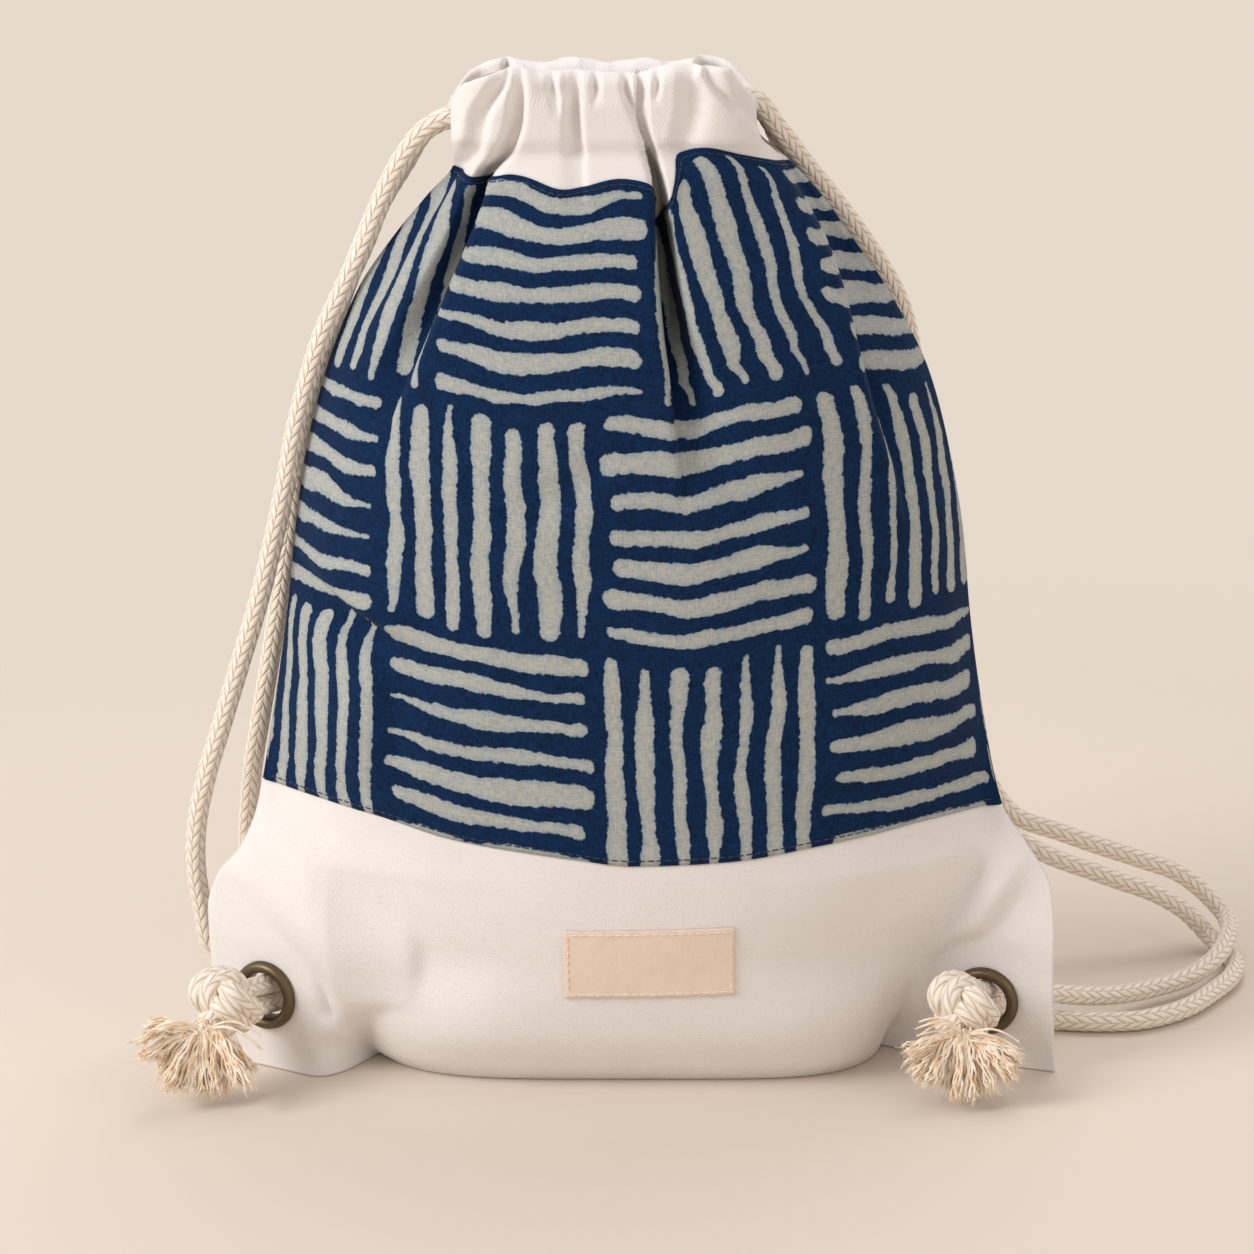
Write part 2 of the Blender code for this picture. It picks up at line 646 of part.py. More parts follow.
top_band("front_top_band", -1, white_cloth)
top_band("back_top_band", 1, white_cloth)
print_panel("front_print_panel", -1, indigo_cloth)
print_panel("back_print_panel", 1, indigo_cloth)
base_panel("front_base_panel", -1, white_cloth)
base_panel("back_base_panel", 1, white_cloth)
cloth_label("label", label_cloth)

left_frame = ear_frame(ear_left, -1)
right_frame = ear_frame(ear_right, 1)
eyelet_face("left_eyelet_face", left_frame, brass)
eyelet_washer("left_eyelet_washer", left_frame, brass)
eyelet_face("right_eyelet_face", right_frame, brass)
eyelet_washer("right_eyelet_washer", right_frame, brass)
knot("left_knot", left_knot_centre, ear_left, cotton_rope)
knot("right_knot", right_knot_centre, ear_right, cotton_rope)


def strand_end(knot_centre, ear, level):
    """From the knot's flat face through the eyelet: level is 1 for the upper strand, -1 for the lower."""
    axis = knot_axis(knot_centre, ear)
    lift = (Vector((0, 0, 1)) - axis * axis.z).normalized() * level * strand_apart
    face = knot_centre - axis * (knot_size[2] / 2 - knot_flat + fit_gap)
    centre = Vector(ear["centre"])
    return [face + lift, face.lerp(centre, 0.5) + lift, centre + lift, centre - axis * 13.0 + lift]


def channel_run(turn_x, open_x, level, towards):
    """Through the front channel, round at the far end and back through the back channel.
    towards is 1 where the rope turns at the right end and -1 at the left."""
    straight = [open_x + (turn_x - open_x) * share for share in (0.0, 0.33, 0.66, 1.0)]
    front = [(x, -rope_lane, level) for x in straight]
    turn = [(turn_x + towards * rope_lane * math.cos(a), rope_lane * math.sin(a), level)
            for a in (-math.pi / 4, 0.0, math.pi / 4)]
    back = [(x, rope_lane, level) for x in reversed(straight)]
    return front + turn + back


# Both ends of each rope pass the eyelet from behind; the left rope's spare length lies
# doubled on the table close behind the bag, the right rope's in a loop beside it
left_route = (
    strand_end(left_knot_centre, ear_left, 1)
    + [(-142.0, 3.0, 31.0), (-152.0, 12.0, 29.5), (-164.0, 13.0, 31.0), (-172.6, 10.5, 39.5),
       (-175.4, 9.0, 55.0), (-177.3, 6.0, 76.0), (-176.1, 4.0, 93.0), (-171.4, 2.0, 114.0),
       (-164.3, 0.0, 136.6), (-156.6, -1.0, 161.0), (-147.3, -2.0, 190.7), (-141.2, -2.0, 214.5),
       (-136.0, -2.0, 237.0), (-131.4, -2.0, 259.5), (-126.4, -2.0, 277.5), (-119.4, -2.0, 298.0),
       (-112.0, -2.0, 313.6), (-103.3, -2.0, 332.0), (-95.9, -2.0, 350.0), (-87.4, -3.0, 366.0),
       (-78.0, -4.4, 377.0), (-68.5, -4.8, low_level), (-60.0, -7.5, low_level)]
    + channel_run(26.0, -47.0, low_level, 1)
    + [(-60.0, 7.5, low_level), (-68.5, 4.8, low_level), (-78.6, 5.0, 375.6), (-88.0, 8.0, 361.5),
       (-96.2, 11.0, 348.3), (-108.5, 13.0, 321.0), (-118.3, 14.0, 294.8), (-130.4, 16.0, 255.7),
       (-137.4, 16.0, 210.2), (-143.1, 16.0, 174.4), (-149.7, 16.0, 137.8), (-154.2, 18.0, 112.9),
       (-156.6, 22.0, 93.2), (-158.0, 27.0, 78.0), (-158.0, 34.0, 58.0), (-156.0, 44.0, 36.0),
       (-148.0, 58.0, 15.0), (-130.0, 71.0, 6.0), (-100.0, 81.0, 4.2), (-50.0, 89.0, 4.2),
       (0.0, 93.0, 4.2), (30.0, 102.0, 4.2), (41.0, 119.0, 4.2), (31.0, 136.0, 4.2), (0.0, 144.0, 4.2),
       (-50.0, 144.0, 4.2), (-100.0, 137.0, 4.2), (-138.0, 118.0, 4.2), (-156.0, 90.0, 4.2),
       (-159.0, 62.0, 4.8), (-155.0, 38.0, 8.0), (-148.5, 18.0, 14.5), (-141.5, 3.0, 20.5)]
    + strand_end(left_knot_centre, ear_left, -1)[::-1]
)
right_route = (
    strand_end(right_knot_centre, ear_right, 1)
    + [(156.5, 4.0, 23.5), (165.0, 11.0, 18.5), (175.0, 16.5, 15.0), (202.0, 31.0, 8.6),
       (220.0, 43.0, 7.0), (240.0, 57.5, 8.0), (253.0, 73.0, 11.4), (259.5, 90.0, 13.2),
       (262.6, 105.0, 13.2), (262.0, 117.0, 15.0), (255.5, 122.0, 21.4), (242.6, 120.0, 32.1),
       (224.2, 116.0, 40.4), (205.9, 112.0, 47.7), (187.7, 108.0, 55.5), (168.0, 105.0, 63.8),
       (150.0, 99.0, 92.0), (139.5, 91.0, 130.0), (132.5, 82.0, 172.0), (126.0, 71.0, 215.0),
       (118.5, 60.0, 258.0), (109.1, 48.0, 299.6), (91.2, 34.0, 330.3), (81.0, 26.0, 344.3),
       (69.3, 15.0, 359.5), (57.0, 2.0, 376.5), (47.5, -4.6, 388.0), (38.0, -8.0, high_level)]
    + channel_run(-48.0, 27.5, high_level, -1)
    + [(38.0, 8.0, high_level), (46.5, 3.8, 388.0), (53.5, 6.5, 380.0), (59.5, 17.0, 367.0),
       (70.0, 28.5, 350.0), (81.0, 37.5, 334.5), (91.0, 45.0, 319.0), (105.0, 58.0, 286.0), (113.5, 70.0, 248.0),
       (120.5, 81.0, 205.0), (126.5, 90.0, 162.0), (133.5, 96.0, 122.0), (146.0, 98.0, 86.0),
       (160.0, 97.0, 62.5), (176.2, 97.0, 51.3), (205.0, 102.0, 38.2), (235.1, 108.0, 24.6),
       (246.0, 112.0, 16.0), (253.5, 112.0, 8.0), (258.8, 101.0, 4.2), (262.0, 86.0, 4.2),
       (258.0, 66.0, 4.2), (247.5, 47.5, 4.2), (231.0, 26.0, 4.2), (212.0, 14.0, 4.2),
       (192.0, 12.0, 4.2), (175.0, 13.5, 4.8), (165.5, 9.5, 8.5), (156.5, 2.5, 14.0)]
    + strand_end(right_knot_centre, ear_right, -1)[::-1]
)
rope("left_rope", left_route, cotton_rope)
rope("right_rope", right_route, cotton_rope)

# Each tassel starts at its knot's underside and its tip rests just over the table
left_tip = Vector((left_knot_centre.x - 8.0, left_knot_centre.y - 5.5, 5.6))
right_tip = Vector((right_knot_centre.x, right_knot_centre.y - 5.5, 3.8))
tassel("left_tassel", left_knot_centre + Vector((-3.95, -2.64, -11.86)), left_tip, 17.0, 6.5, cotton_fray)
tassel("right_tassel", right_knot_centre + Vector((0.0, -3.55, -12.4)), right_tip, 18.0, 6.5, cotton_fray)
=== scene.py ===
# Gathered cotton drawstring backpack with rope straps, standing on its stuffed base.
# Shapes are worked out in millimetres and written to the meshes in metres.

import math

import bmesh
import bpy
import numpy as np
from mathutils import Matrix, Vector, noise


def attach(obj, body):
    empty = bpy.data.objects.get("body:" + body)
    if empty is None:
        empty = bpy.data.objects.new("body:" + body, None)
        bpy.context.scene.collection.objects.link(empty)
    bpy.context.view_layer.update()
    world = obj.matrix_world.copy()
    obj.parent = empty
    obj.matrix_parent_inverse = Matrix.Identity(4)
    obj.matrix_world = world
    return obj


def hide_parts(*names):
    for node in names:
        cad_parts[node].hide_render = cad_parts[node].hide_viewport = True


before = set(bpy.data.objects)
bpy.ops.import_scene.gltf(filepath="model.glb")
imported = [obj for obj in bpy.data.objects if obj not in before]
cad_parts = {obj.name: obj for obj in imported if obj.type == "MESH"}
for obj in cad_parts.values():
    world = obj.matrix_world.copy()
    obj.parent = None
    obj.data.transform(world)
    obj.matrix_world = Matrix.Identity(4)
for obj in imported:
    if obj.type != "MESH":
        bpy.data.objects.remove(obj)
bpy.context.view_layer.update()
mm = 0.001
print("frame loaded")


# Camera, floor and light

cameraSet = {"place": (-0.0012, -1.4489, 0.5652), "down": 15.0, "lens": 107.66}
lampSet = {
    "key": {"place": (-2.0, -0.95, 1.45), "aim": (0, 0, 0.2), "size": 1.3, "watts": 41.0, "tint": "#ffffff"},
    "fill": {"place": (1.9, -1.3, 1.1), "aim": (0.0, 0.0, 0.2), "size": 1.8, "watts": 8.5, "tint": "#fff5ed"},
    "top": {"place": (0.3, 0.9, 2.0), "aim": (0.0, 0.0, 0.3), "size": 1.4, "watts": 12.0, "tint": "#ffffff"},
    "sky": {"tint": "#fff9f4", "level": 0.56, "seen": "#e6dacc"},
    "floor": {"tint": "#e0d4c7", "half": 14.0, "near": 0.35, "far": 1.1},
}


def linear(code):
    # linear colour from an sRGB hex code
    parts = [int(code[i:i + 2], 16) / 255 for i in (1, 3, 5)]
    return [c / 12.92 if c <= 0.04045 else ((c + 0.055) / 1.055) ** 2.4 for c in parts] + [1.0]


def fillSockets(tree, node, values):
    # values are plain, or sockets of other nodes to link from
    for key, value in values.items():
        if isinstance(value, bpy.types.NodeSocket):
            tree.links.new(value, node.inputs[key])
        else:
            node.inputs[key].default_value = value


def addNode(tree, kind, *values, **settings):
    # kind may carry an operation; values go to the sockets in order, or by key if they are in a dictionary
    kind, _, operation = kind.partition(" ")
    made = tree.nodes.new("ShaderNode" + kind)
    if operation:
        made.operation = operation
    for key, value in settings.items():
        setattr(made, key, value)
    named = len(values) == 1 and isinstance(values[0], dict)
    fillSockets(tree, made, values[0] if named else dict(enumerate(values)))
    return made.outputs


def newMaterial(name):
    # empty material with its Principled shader, and the tree that its pattern goes into
    made = bpy.data.materials.new(name)
    made.use_nodes = True
    return made, made.node_tree, made.node_tree.nodes["Principled BSDF"]


def addCamera():
    data = bpy.data.cameras.new("camera")
    data.lens = cameraSet["lens"]
    data.sensor_width = 36.0
    data.clip_end = 50.0
    camera = bpy.data.objects.new("camera", data)
    camera.location = cameraSet["place"]
    camera.rotation_euler = (math.radians(90.0 - cameraSet["down"]), 0.0, 0.0)
    bpy.context.scene.collection.objects.link(camera)
    bpy.context.scene.camera = camera


def seenRay(tree):
    # 1 for rays that reach the eye directly, or by a mirror or glass, and 0 for those that light the object
    ray = addNode(tree, "LightPath")
    seen = addNode(tree, "Math ADD", ray["Is Camera Ray"], ray["Is Glossy Ray"])[0]
    return addNode(tree, "Math ADD", seen, ray["Is Transmission Ray"], use_clamp=True)[0]


def addLamps():
    for name in ("key", "fill", "top"):
        lamp = lampSet[name]
        data = bpy.data.lights.new(name, "AREA")
        data.shape = "DISK"
        data.size = lamp["size"]
        data.energy = lamp["watts"]
        data.color = linear(lamp["tint"])[:3]
        made = bpy.data.objects.new(name, data)
        made.location = lamp["place"]
        ray = Vector(lamp["aim"]) - Vector(lamp["place"])
        made.rotation_euler = ray.to_track_quat("-Z", "Y").to_euler()
        bpy.context.scene.collection.objects.link(made)
    world = bpy.data.worlds.new("studio")
    world.use_nodes = True
    tree = world.node_tree
    sky = tree.nodes["Background"]
    sky.inputs["Color"].default_value = linear(lampSet["sky"]["tint"])
    sky.inputs["Strength"].default_value = lampSet["sky"]["level"]
    wall = addNode(tree, "Background", linear(lampSet["sky"]["seen"]), 1.0)[0]
    both = addNode(tree, "MixShader", seenRay(tree), sky.outputs[0], wall)[0]
    tree.links.new(both, tree.nodes["World Output"].inputs["Surface"])
    bpy.context.scene.world = world


def addFloor():
    bm = bmesh.new()
    bmesh.ops.create_grid(bm, x_segments=1, y_segments=1, size=lampSet["floor"]["half"])
    bmesh.ops.translate(bm, vec=(0.0, 0.0, -0.0003), verts=bm.verts[:])
    look, tree, shader = newMaterial("matt painted table")
    fillSockets(tree, shader, {"Base Color": linear(lampSet["floor"]["tint"]), "Roughness": 0.8})
    # beyond the shadow the table runs out into the wall's own colour, without a horizon
    place = addNode(tree, "TexCoord")["Object"]
    away = addNode(tree, "VectorMath LENGTH", place)["Value"]
    away = addNode(tree, "MapRange", away, lampSet["floor"]["near"], lampSet["floor"]["far"],
                   interpolation_type="SMOOTHSTEP")[0]
    away = addNode(tree, "Math MULTIPLY", away, seenRay(tree))[0]
    wall = addNode(tree, "Emission", linear(lampSet["sky"]["seen"]), 1.0)[0]
    both = addNode(tree, "MixShader", away, shader.outputs[0], wall)[0]
    tree.links.new(both, tree.nodes["Material Output"].inputs["Surface"])
    newPiece("floor", bm, look)


def newPiece(name, bm, *looks):
    # object at the origin from a bmesh, with its materials in order
    mesh = bpy.data.meshes.new(name)
    bm.to_mesh(mesh)
    bm.free()
    for look in looks:
        mesh.materials.append(look)
    mesh.shade_smooth()
    made = bpy.data.objects.new(name, mesh)
    bpy.context.scene.collection.objects.link(made)
    return made


def asPart(piece, node=None):
    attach(piece, "root")
    if node:
        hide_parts(node)
    return piece


bpy.context.scene.view_settings.view_transform = "Standard"
addCamera()
addLamps()
addFloor()
print("camera, light and floor")


# The bag's form: the CAD shell's own outline, depth, ears and channel, with more folds

bag = {
    "height": 402.0, "width": 341.0, "depth": 132.0, "cloth": 1.2, "seamGap": 0.3, "eyeletHole": 11.2,
    "lap": 0.5, "proud": 0.6, "baseSeam": 101.0, "topSeam": 361.0, "channelBottom": 374.0, "ropeRadius": 4.0,
    "columns": 230, "printRows": 150, "faceRows": 62, "footRows": 16,
}
bag["earLayer"] = bag["cloth"] + bag["seamGap"] / 2
bag["channelHalf"] = bag["ropeRadius"] + 0.8 + bag["cloth"]
bag["ropeLane"] = 15.0
bag["lowLevel"] = bag["channelBottom"] + bag["cloth"] + 0.3 + bag["ropeRadius"] + 1.4
bag["highLevel"] = bag["lowLevel"] + 8.7
bag["mouthHalf"] = 12.2

# share of the height, then the left and right edge in half widths
outline = [
    (0.000, -0.913, 1.004), (0.095, -0.994, 0.995), (0.155, -1.000, 0.994),
    (0.192, -0.975, 0.986), (0.222, -0.920, 0.945), (0.262, -0.880, 0.880),
    (0.347, -0.845, 0.836), (0.455, -0.804, 0.797), (0.540, -0.780, 0.776),
    (0.620, -0.751, 0.741), (0.700, -0.701, 0.689), (0.780, -0.624, 0.591),
    (0.835, -0.535, 0.500), (0.872, -0.462, 0.437), (0.905, -0.400, 0.364),
    (0.935, -0.403, 0.287), (1.000, -0.403, 0.280),
]
# share of the height, then share of the half depth
depthProfile = [
    (0.000, 0.620), (0.020, 0.740), (0.055, 0.850), (0.110, 0.925), (0.200, 0.985),
    (0.330, 1.000), (0.460, 1.000), (0.600, 0.955), (0.720, 0.865), (0.820, 0.720),
    (0.890, 0.545), (0.930, 0.400), (0.950, 0.330), (1.000, 0.330),
]
# height, then how far from the middle the round body ends beside the ear
creaseLeft = [(0, 104), (5, 109), (34, 121), (46, 127), (60, 137), (88, 156), (110, 178), (130, 198)]
creaseRight = [(0, 103), (10, 107), (26, 113), (42, 121), (58, 134), (82, 153), (100, 172), (120, 195)]
# an ear's eyelet, how far the ear turns, and where it begins to and has fully turned
earLeft = {"centre": (-145.8, -26, 31), "turn": math.radians(30), "flat": 92.0, "turned": 129.0}
earRight = {"centre": (143.7, -22, 27), "turn": math.radians(20), "flat": 90.0, "turned": 126.0}
# x, then how far the seam stands above its own level
topSeams = {
    -1: [(-70, 1), (-54, -2), (-44, 1), (-24, -4), (-4, 0), (9, -3), (27, 9), (40, 11), (62, 3)],
    1: [(-70, 1), (-40, 2), (0, -2), (40, 3), (62, 3)],
}
baseSeam = [(-150, 15), (-129, 14.5), (-104, 12.5), (-70, 6), (-21, 0.5), (0, -2),
            (38, -1), (73, 2.5), (98, 4.5), (120, 6), (145, 5.5)]


def curveThrough(points):
    # smooth values between (position, value) pairs that never overshoot them; takes arrays
    xs = np.array([p[0] for p in points], dtype=float)
    ys = np.array([p[1] for p in points], dtype=float)
    steps = np.diff(xs)
    slopes = np.diff(ys) / steps
    tangents = np.zeros(len(xs))
    tangents[0] = slopes[0]
    tangents[-1] = slopes[-1]
    for i in range(1, len(xs) - 1):
        if slopes[i - 1] * slopes[i] > 0:
            tangents[i] = 2 * slopes[i - 1] * slopes[i] / (slopes[i - 1] + slopes[i])

    def value(x):
        x = np.clip(x, xs[0], xs[-1])
        i = np.clip(np.searchsorted(xs, x) - 1, 0, len(steps) - 1)
        t = (x - xs[i]) / steps[i]
        low = (1 + 2 * t) * (1 - t) ** 2 * ys[i] + t * (1 - t) ** 2 * steps[i] * tangents[i]
        high = t * t * (3 - 2 * t) * ys[i + 1] + t * t * (t - 1) * steps[i] * tangents[i + 1]
        return low + high

    return value


def smooth(low, high, x):
    t = np.clip((x - low) / (high - low), 0.0, 1.0)
    return t * t * (3 - 2 * t)


def makeFold(path, depth, wall, steep, soft, lap=0.0, floor=0.0):
    soft = soft if len(soft) > 1 else soft + [(403, soft[0][1])]
    return {"xAt": curveThrough(sorted(path)), "depthAt": curveThrough(depth), "softAt": curveThrough(soft),
            "wall": wall, "steep": steep, "lap": lap, "floor": floor}


# Folds that run down from the gathers. path: (height, x) of the fold's floor; depth by height;
# wall: which side of the path drops steeply, and over how far; soft: how far the other side takes to
# rise again; lap: how far the steep side's edge hangs over the floor; floor: how wide it is where it's flat
folds = {
    -1: [
        makeFold([(402, -41), (392, -40.5), (383, -41), (371, -44), (361, -51.5), (340, -60), (300, -78),
                  (270, -92)],
                 [(255, 0), (290, 9), (330, 17), (361, 17), (385, 7), (402, 4)],
                 1, 1.8, [(255, 24), (361, 9), (402, 6)], 3),
        makeFold([(402, 2.9), (383, 1.6), (373, 3), (361, 5.6), (345, 7), (324, 8.4), (298, 11), (255, 20)],
                 [(240, 0), (265, 7), (290, 18), (310, 33), (335, 40), (350, 35), (366, 23), (385, 9),
                  (402, 5)],
                 -1, 1.5, [(255, 42), (285, 26), (310, 15), (330, 11.5), (361, 8.5), (402, 5)], 5, 4.6),
        makeFold([(402, 40), (390, 42), (372, 54), (348, 69), (331, 77), (315, 82.5), (296, 87.5),
                  (275, 93.5), (245, 104), (225, 109)],
                 [(222, 0), (250, 5), (285, 13), (335, 16), (358, 9), (372, 5), (395, 3)],
                 -1, 2, [(236, 26), (330, 22), (402, 9)], 3.5),
        makeFold([(402, -45), (396, -48), (384, -55), (372, -57.5), (361, -65), (340, -80), (300, -104)],
                 [(285, 0), (330, 6), (352, 8), (372, 7), (392, 6), (402, 3)],
                 1, 2.2, [(325, 12), (402, 8)], 2),
        makeFold([(402, -20.3), (386, -20), (366, -18.5), (350, -18)],
                 [(345, 0), (366, 3), (380, 6.5), (392, 6.5), (402, 5)], 1, 1.6, [(360, 10), (402, 4)], 1),
        makeFold([(402, 23), (388, 23.5), (374, 21)],
                 [(362, 0), (378, 3.5), (392, 5), (402, 2)], 1, 5, [(360, 10), (402, 7)]),
        makeFold([(402, -32), (395, -29), (385, -27)], [(384, 0), (392, 3), (402, 6.5)], 1, 1, [(402, 3.6)]),
        makeFold([(402, -13), (385, -13.6)], [(388, 0), (395, 4), (402, 6.5)], -1, 1, [(402, 3.4)]),
        makeFold([(402, -5), (380, 0.6)], [(376, 0), (388, 5), (402, 6.5)], -1, 1.1, [(402, 3)]),
        makeFold([(402, -25.5), (388, -24)], [(391, 0), (402, 5)], -1, 0.9, [(402, 2.6)]),
        makeFold([(402, 11.5), (388, 9.5)], [(389, 0), (397, 4), (402, 5.5)], 1, 1, [(402, 3.4)]),
        makeFold([(402, 28), (396, 31), (388, 39)],
                 [(384, 0), (392, 3.5), (402, 3.5)], -1, 1.4, [(402, 6)], 0.6),
    ],
    1: [
        makeFold([(402, -32), (380, -34), (340, -42), (300, -54), (262, -62)],
                 [(250, 0), (300, 9), (345, 17), (372, 13), (402, 5)],
                 -1, 2.2, [(255, 24), (361, 10), (402, 6)], 2.5),
        makeFold([(402, 12), (380, 14), (340, 18), (300, 24), (262, 30)],
                 [(250, 0), (300, 9), (345, 18), (372, 14), (402, 5)],
                 1, 2.2, [(255, 24), (361, 10), (402, 6)], 2.5),
        makeFold([(402, 38), (372, 46), (345, 62), (300, 82)],
                 [(270, 0), (320, 6), (360, 8), (400, 4)], -1, 3, [(236, 16), (402, 9)], 1),
        makeFold([(402, -8), (386, -9), (350, -10)],
                 [(340, 0), (370, 5), (390, 6), (402, 6)], 1, 1.8, [(340, 9), (402, 5)], 0.8),
        makeFold([(402, -50), (380, -54), (350, -66)],
                 [(340, 0), (370, 5), (402, 5)], 1, 2.4, [(402, 8)], 0.8),
        makeFold([(402, -20), (385, -19)], [(384, 0), (402, 6)], 1, 1.1, [(402, 3.4)]),
        makeFold([(402, 1), (385, 2)], [(386, 0), (402, 6)], -1, 1.1, [(402, 3.4)]),
        makeFold([(402, 24), (385, 25)], [(382, 0), (402, 6)], -1, 1.2, [(402, 4)]),
    ],
}
lobeHeight = 7.0
pleatHides = {"at": 12.0, "reach": 13.0, "share": 0.8}  # how much of that pleat's depth the print ignores
# the upper seam drops inside the front's main pleat
seamDip = {"at": 6.6, "deep": 17.0, "left": 2.2, "right": 7.0}

# Creases and ridges that run across the cloth: x and z of both ends, rise outwards, how far each flank
# reaches (left of the line first, seen from its first end), and how far the middle bows to the left
creases = {
    -1: [
        (-154, 114, -103, 30, 2.6, 16, 9, 3),
        (-172, 80, -106, 10, -4.4, 8, 2.6, 2),
        (-166, 60, -146, 50, -1.6, 5, 4, 0),
        (150, 105, 118, 32, -3, 8, 8, -2),
        (170, 82, 119, 30, -3.8, 4, 9, 2),
        (160, 98, 134, 50, 3, 7, 7, 0),
        (-138, 214, -84, 181, -8, 1.8, 13, -3),
        (-142, 222, -84, 188, 4.5, 14, 4, -3),
        (-100, 186, -106, 116, 3, 12, 9, -4),
        (-88, 178, -90, 122, -2.4, 8, 9, -3),
        (54, 366, 110, 246, 4, 14, 8, 4),
        (76, 340, 118, 262, -3.5, 6, 9, 3),
        (134, 196, 137, 138, -3, 5, 5, 0),
        (20, 262, 62, 236, -2.2, 8, 5, -3),
        (-6, 258, -44, 238, -1.8, 6, 8, 3),
        (98, 232, 120, 150, -2.2, 9, 9, 5),
    ],
    1: [
        (150, 108, 111, 26, 4, 10, 15, -3),
        (-150, 105, -118, 32, -3, 8, 8, 2),
        (110, 230, 60, 196, -3.5, 4, 9, 2),
        (-120, 210, -72, 170, -3.5, 9, 4, -3),
        (-40, 250, 10, 214, -2.4, 9, 5, -3),
        (-60, 366, -108, 250, 3.5, 8, 13, -4),
    ],
}
# cloth that bridges body and ear
slack = {"size": 16.0, "slope": 0.9, "crest": -118.0, "chord": 0.22, "facet": 0.27}
topEdges = {  # how far the drawn edge stands above or below the bag's height, by x
    -1: [(-69, -13), (-66, -8), (-60, -4), (-50, -0.5), (-41, 1.6), (-34, -1), (-22, -0.4),
         (-8, -1.2), (3, -1.6), (10, 0.6), (17, 2), (30, 1.6), (37, 1), (41, -4), (48, -12)],
    1: [(-69, -13), (-62, -5), (-48, 0), (-36, -1.6), (-22, 0.6), (-8, -1.4), (6, 0.2),
        (16, -1.4), (28, 0.4), (37, -1), (43, -5), (48, -12)],
}

leftEdge = curveThrough([(z * bag["height"], left * bag["width"] / 2) for z, left, right in outline])
rightEdge = curveThrough([(z * bag["height"], right * bag["width"] / 2) for z, left, right in outline])
halfDepth = curveThrough([(z * bag["height"], d * bag["depth"] / 2) for z, d in depthProfile])
creaseAt = {-1: curveThrough(creaseLeft), 1: curveThrough(creaseRight)}
topSeamAt = {side: curveThrough(points) for side, points in topSeams.items()}
baseSeamAt = curveThrough(baseSeam)
topEdgeAt = {side: curveThrough(points) for side, points in topEdges.items()}


def widthAt(s, z):
    left, right = leftEdge(z), rightEdge(z)
    return (left + right) / 2 + s * (right - left) / 2


def earPlane(x, z):
    # middle surface between front and back: flat at the sides, turned in the ears
    planes = []
    for ear in (earLeft, earRight):
        cx, cy, cz = ear["centre"]
        turned = smooth(ear["flat"], ear["turned"], np.abs(x))
        planes.append((cy - math.tan(ear["turn"]) * (x - cx)) * turned)
    return np.where(x < 0, planes[0], planes[1]) * (1.0 - smooth(50.0, 150.0, z))


def leanFactor(x, z):
    across = (earPlane(x + 0.5, z) - earPlane(x - 0.5, z))
    along = (earPlane(x, z + 0.5) - earPlane(x, z - 0.5))
    return np.sqrt(1.0 + across * across + along * along)


def foldDepth(side, x, z):
    # how deep the folds of one side are at x and z
    total = np.zeros_like(x)
    for fold in folds[side]:
        off = (x - fold["xAt"](z)) * fold["wall"]
        steep = np.exp(-(np.clip(off, 0.0, None) / fold["steep"]) ** 2)
        flat = fold["floor"] * np.clip(fold["depthAt"](z) / 34.0, 0.0, 1.0)
        rise = np.clip((-off - flat) / np.maximum(fold["softAt"](z) - flat, 2.5), 0.0, 1.0)
        soft = (1.0 - rise) ** 2 * (1.0 + 2.0 * rise)
        total = total + fold["depthAt"](z) * np.where(off > 0, steep, soft)
    return total


def foldLap(side, x, z):
    # how far the cloth beside a fold is pushed sideways over the fold's floor
    total = np.zeros_like(x)
    for fold in folds[side]:
        if fold["lap"] > 0:
            off = np.clip((x - fold["xAt"](z)) * fold["wall"], 0.0, None)
            near = 1.0 - np.exp(-(off / (0.7 * fold["steep"])) ** 2)
            near = near * np.exp(-(off / (5.0 * fold["steep"])) ** 2)
            share = np.clip(fold["depthAt"](z) / 16.0, 0.0, 1.0)
            total = total - fold["wall"] * fold["lap"] * share * near
    return total


def creaseRise(side, x, z):
    total = np.zeros_like(x)
    for x0, z0, x1, z1, rise, leftFlank, rightFlank, bow in creases[side]:
        length = math.hypot(x1 - x0, z1 - z0)
        ax, az = (x1 - x0) / length, (z1 - z0) / length
        along = ((x - x0) * ax + (z - z0) * az) / length
        off = (z - z0) * ax - (x - x0) * az - bow * 4.0 * along * (1.0 - along)
        flank = np.where(off > 0, leftFlank, rightFlank)
        ends = smooth(-0.08, 0.22, along) * (1.0 - smooth(0.7, 1.08, along))
        total = total + rise * ends * np.exp(-(off / flank) ** 2)
    return total


def latticeNoise(x, z, cell, seed):
    # smooth noise of about -1 to 1 that changes over one cell's length, in millimetres
    table = np.random.default_rng(seed).uniform(-1.0, 1.0, (64, 64))
    u, v = (x + 400.0) / cell, (z + 100.0) / cell
    i, j = np.floor(u).astype(int), np.floor(v).astype(int)
    a, b = u - i, v - j
    a, b = a * a * (3 - 2 * a), b * b * (3 - 2 * b)
    i, j = i % 63, j % 63
    return ((table[i, j] * (1 - a) + table[i + 1, j] * a) * (1 - b)
            + (table[i, j + 1] * (1 - a) + table[i + 1, j + 1] * a) * b)


def eyeletDistance(x, z):
    return np.minimum(*(np.hypot(x - ear["centre"][0], z - ear["centre"][2]) for ear in (earLeft, earRight)))


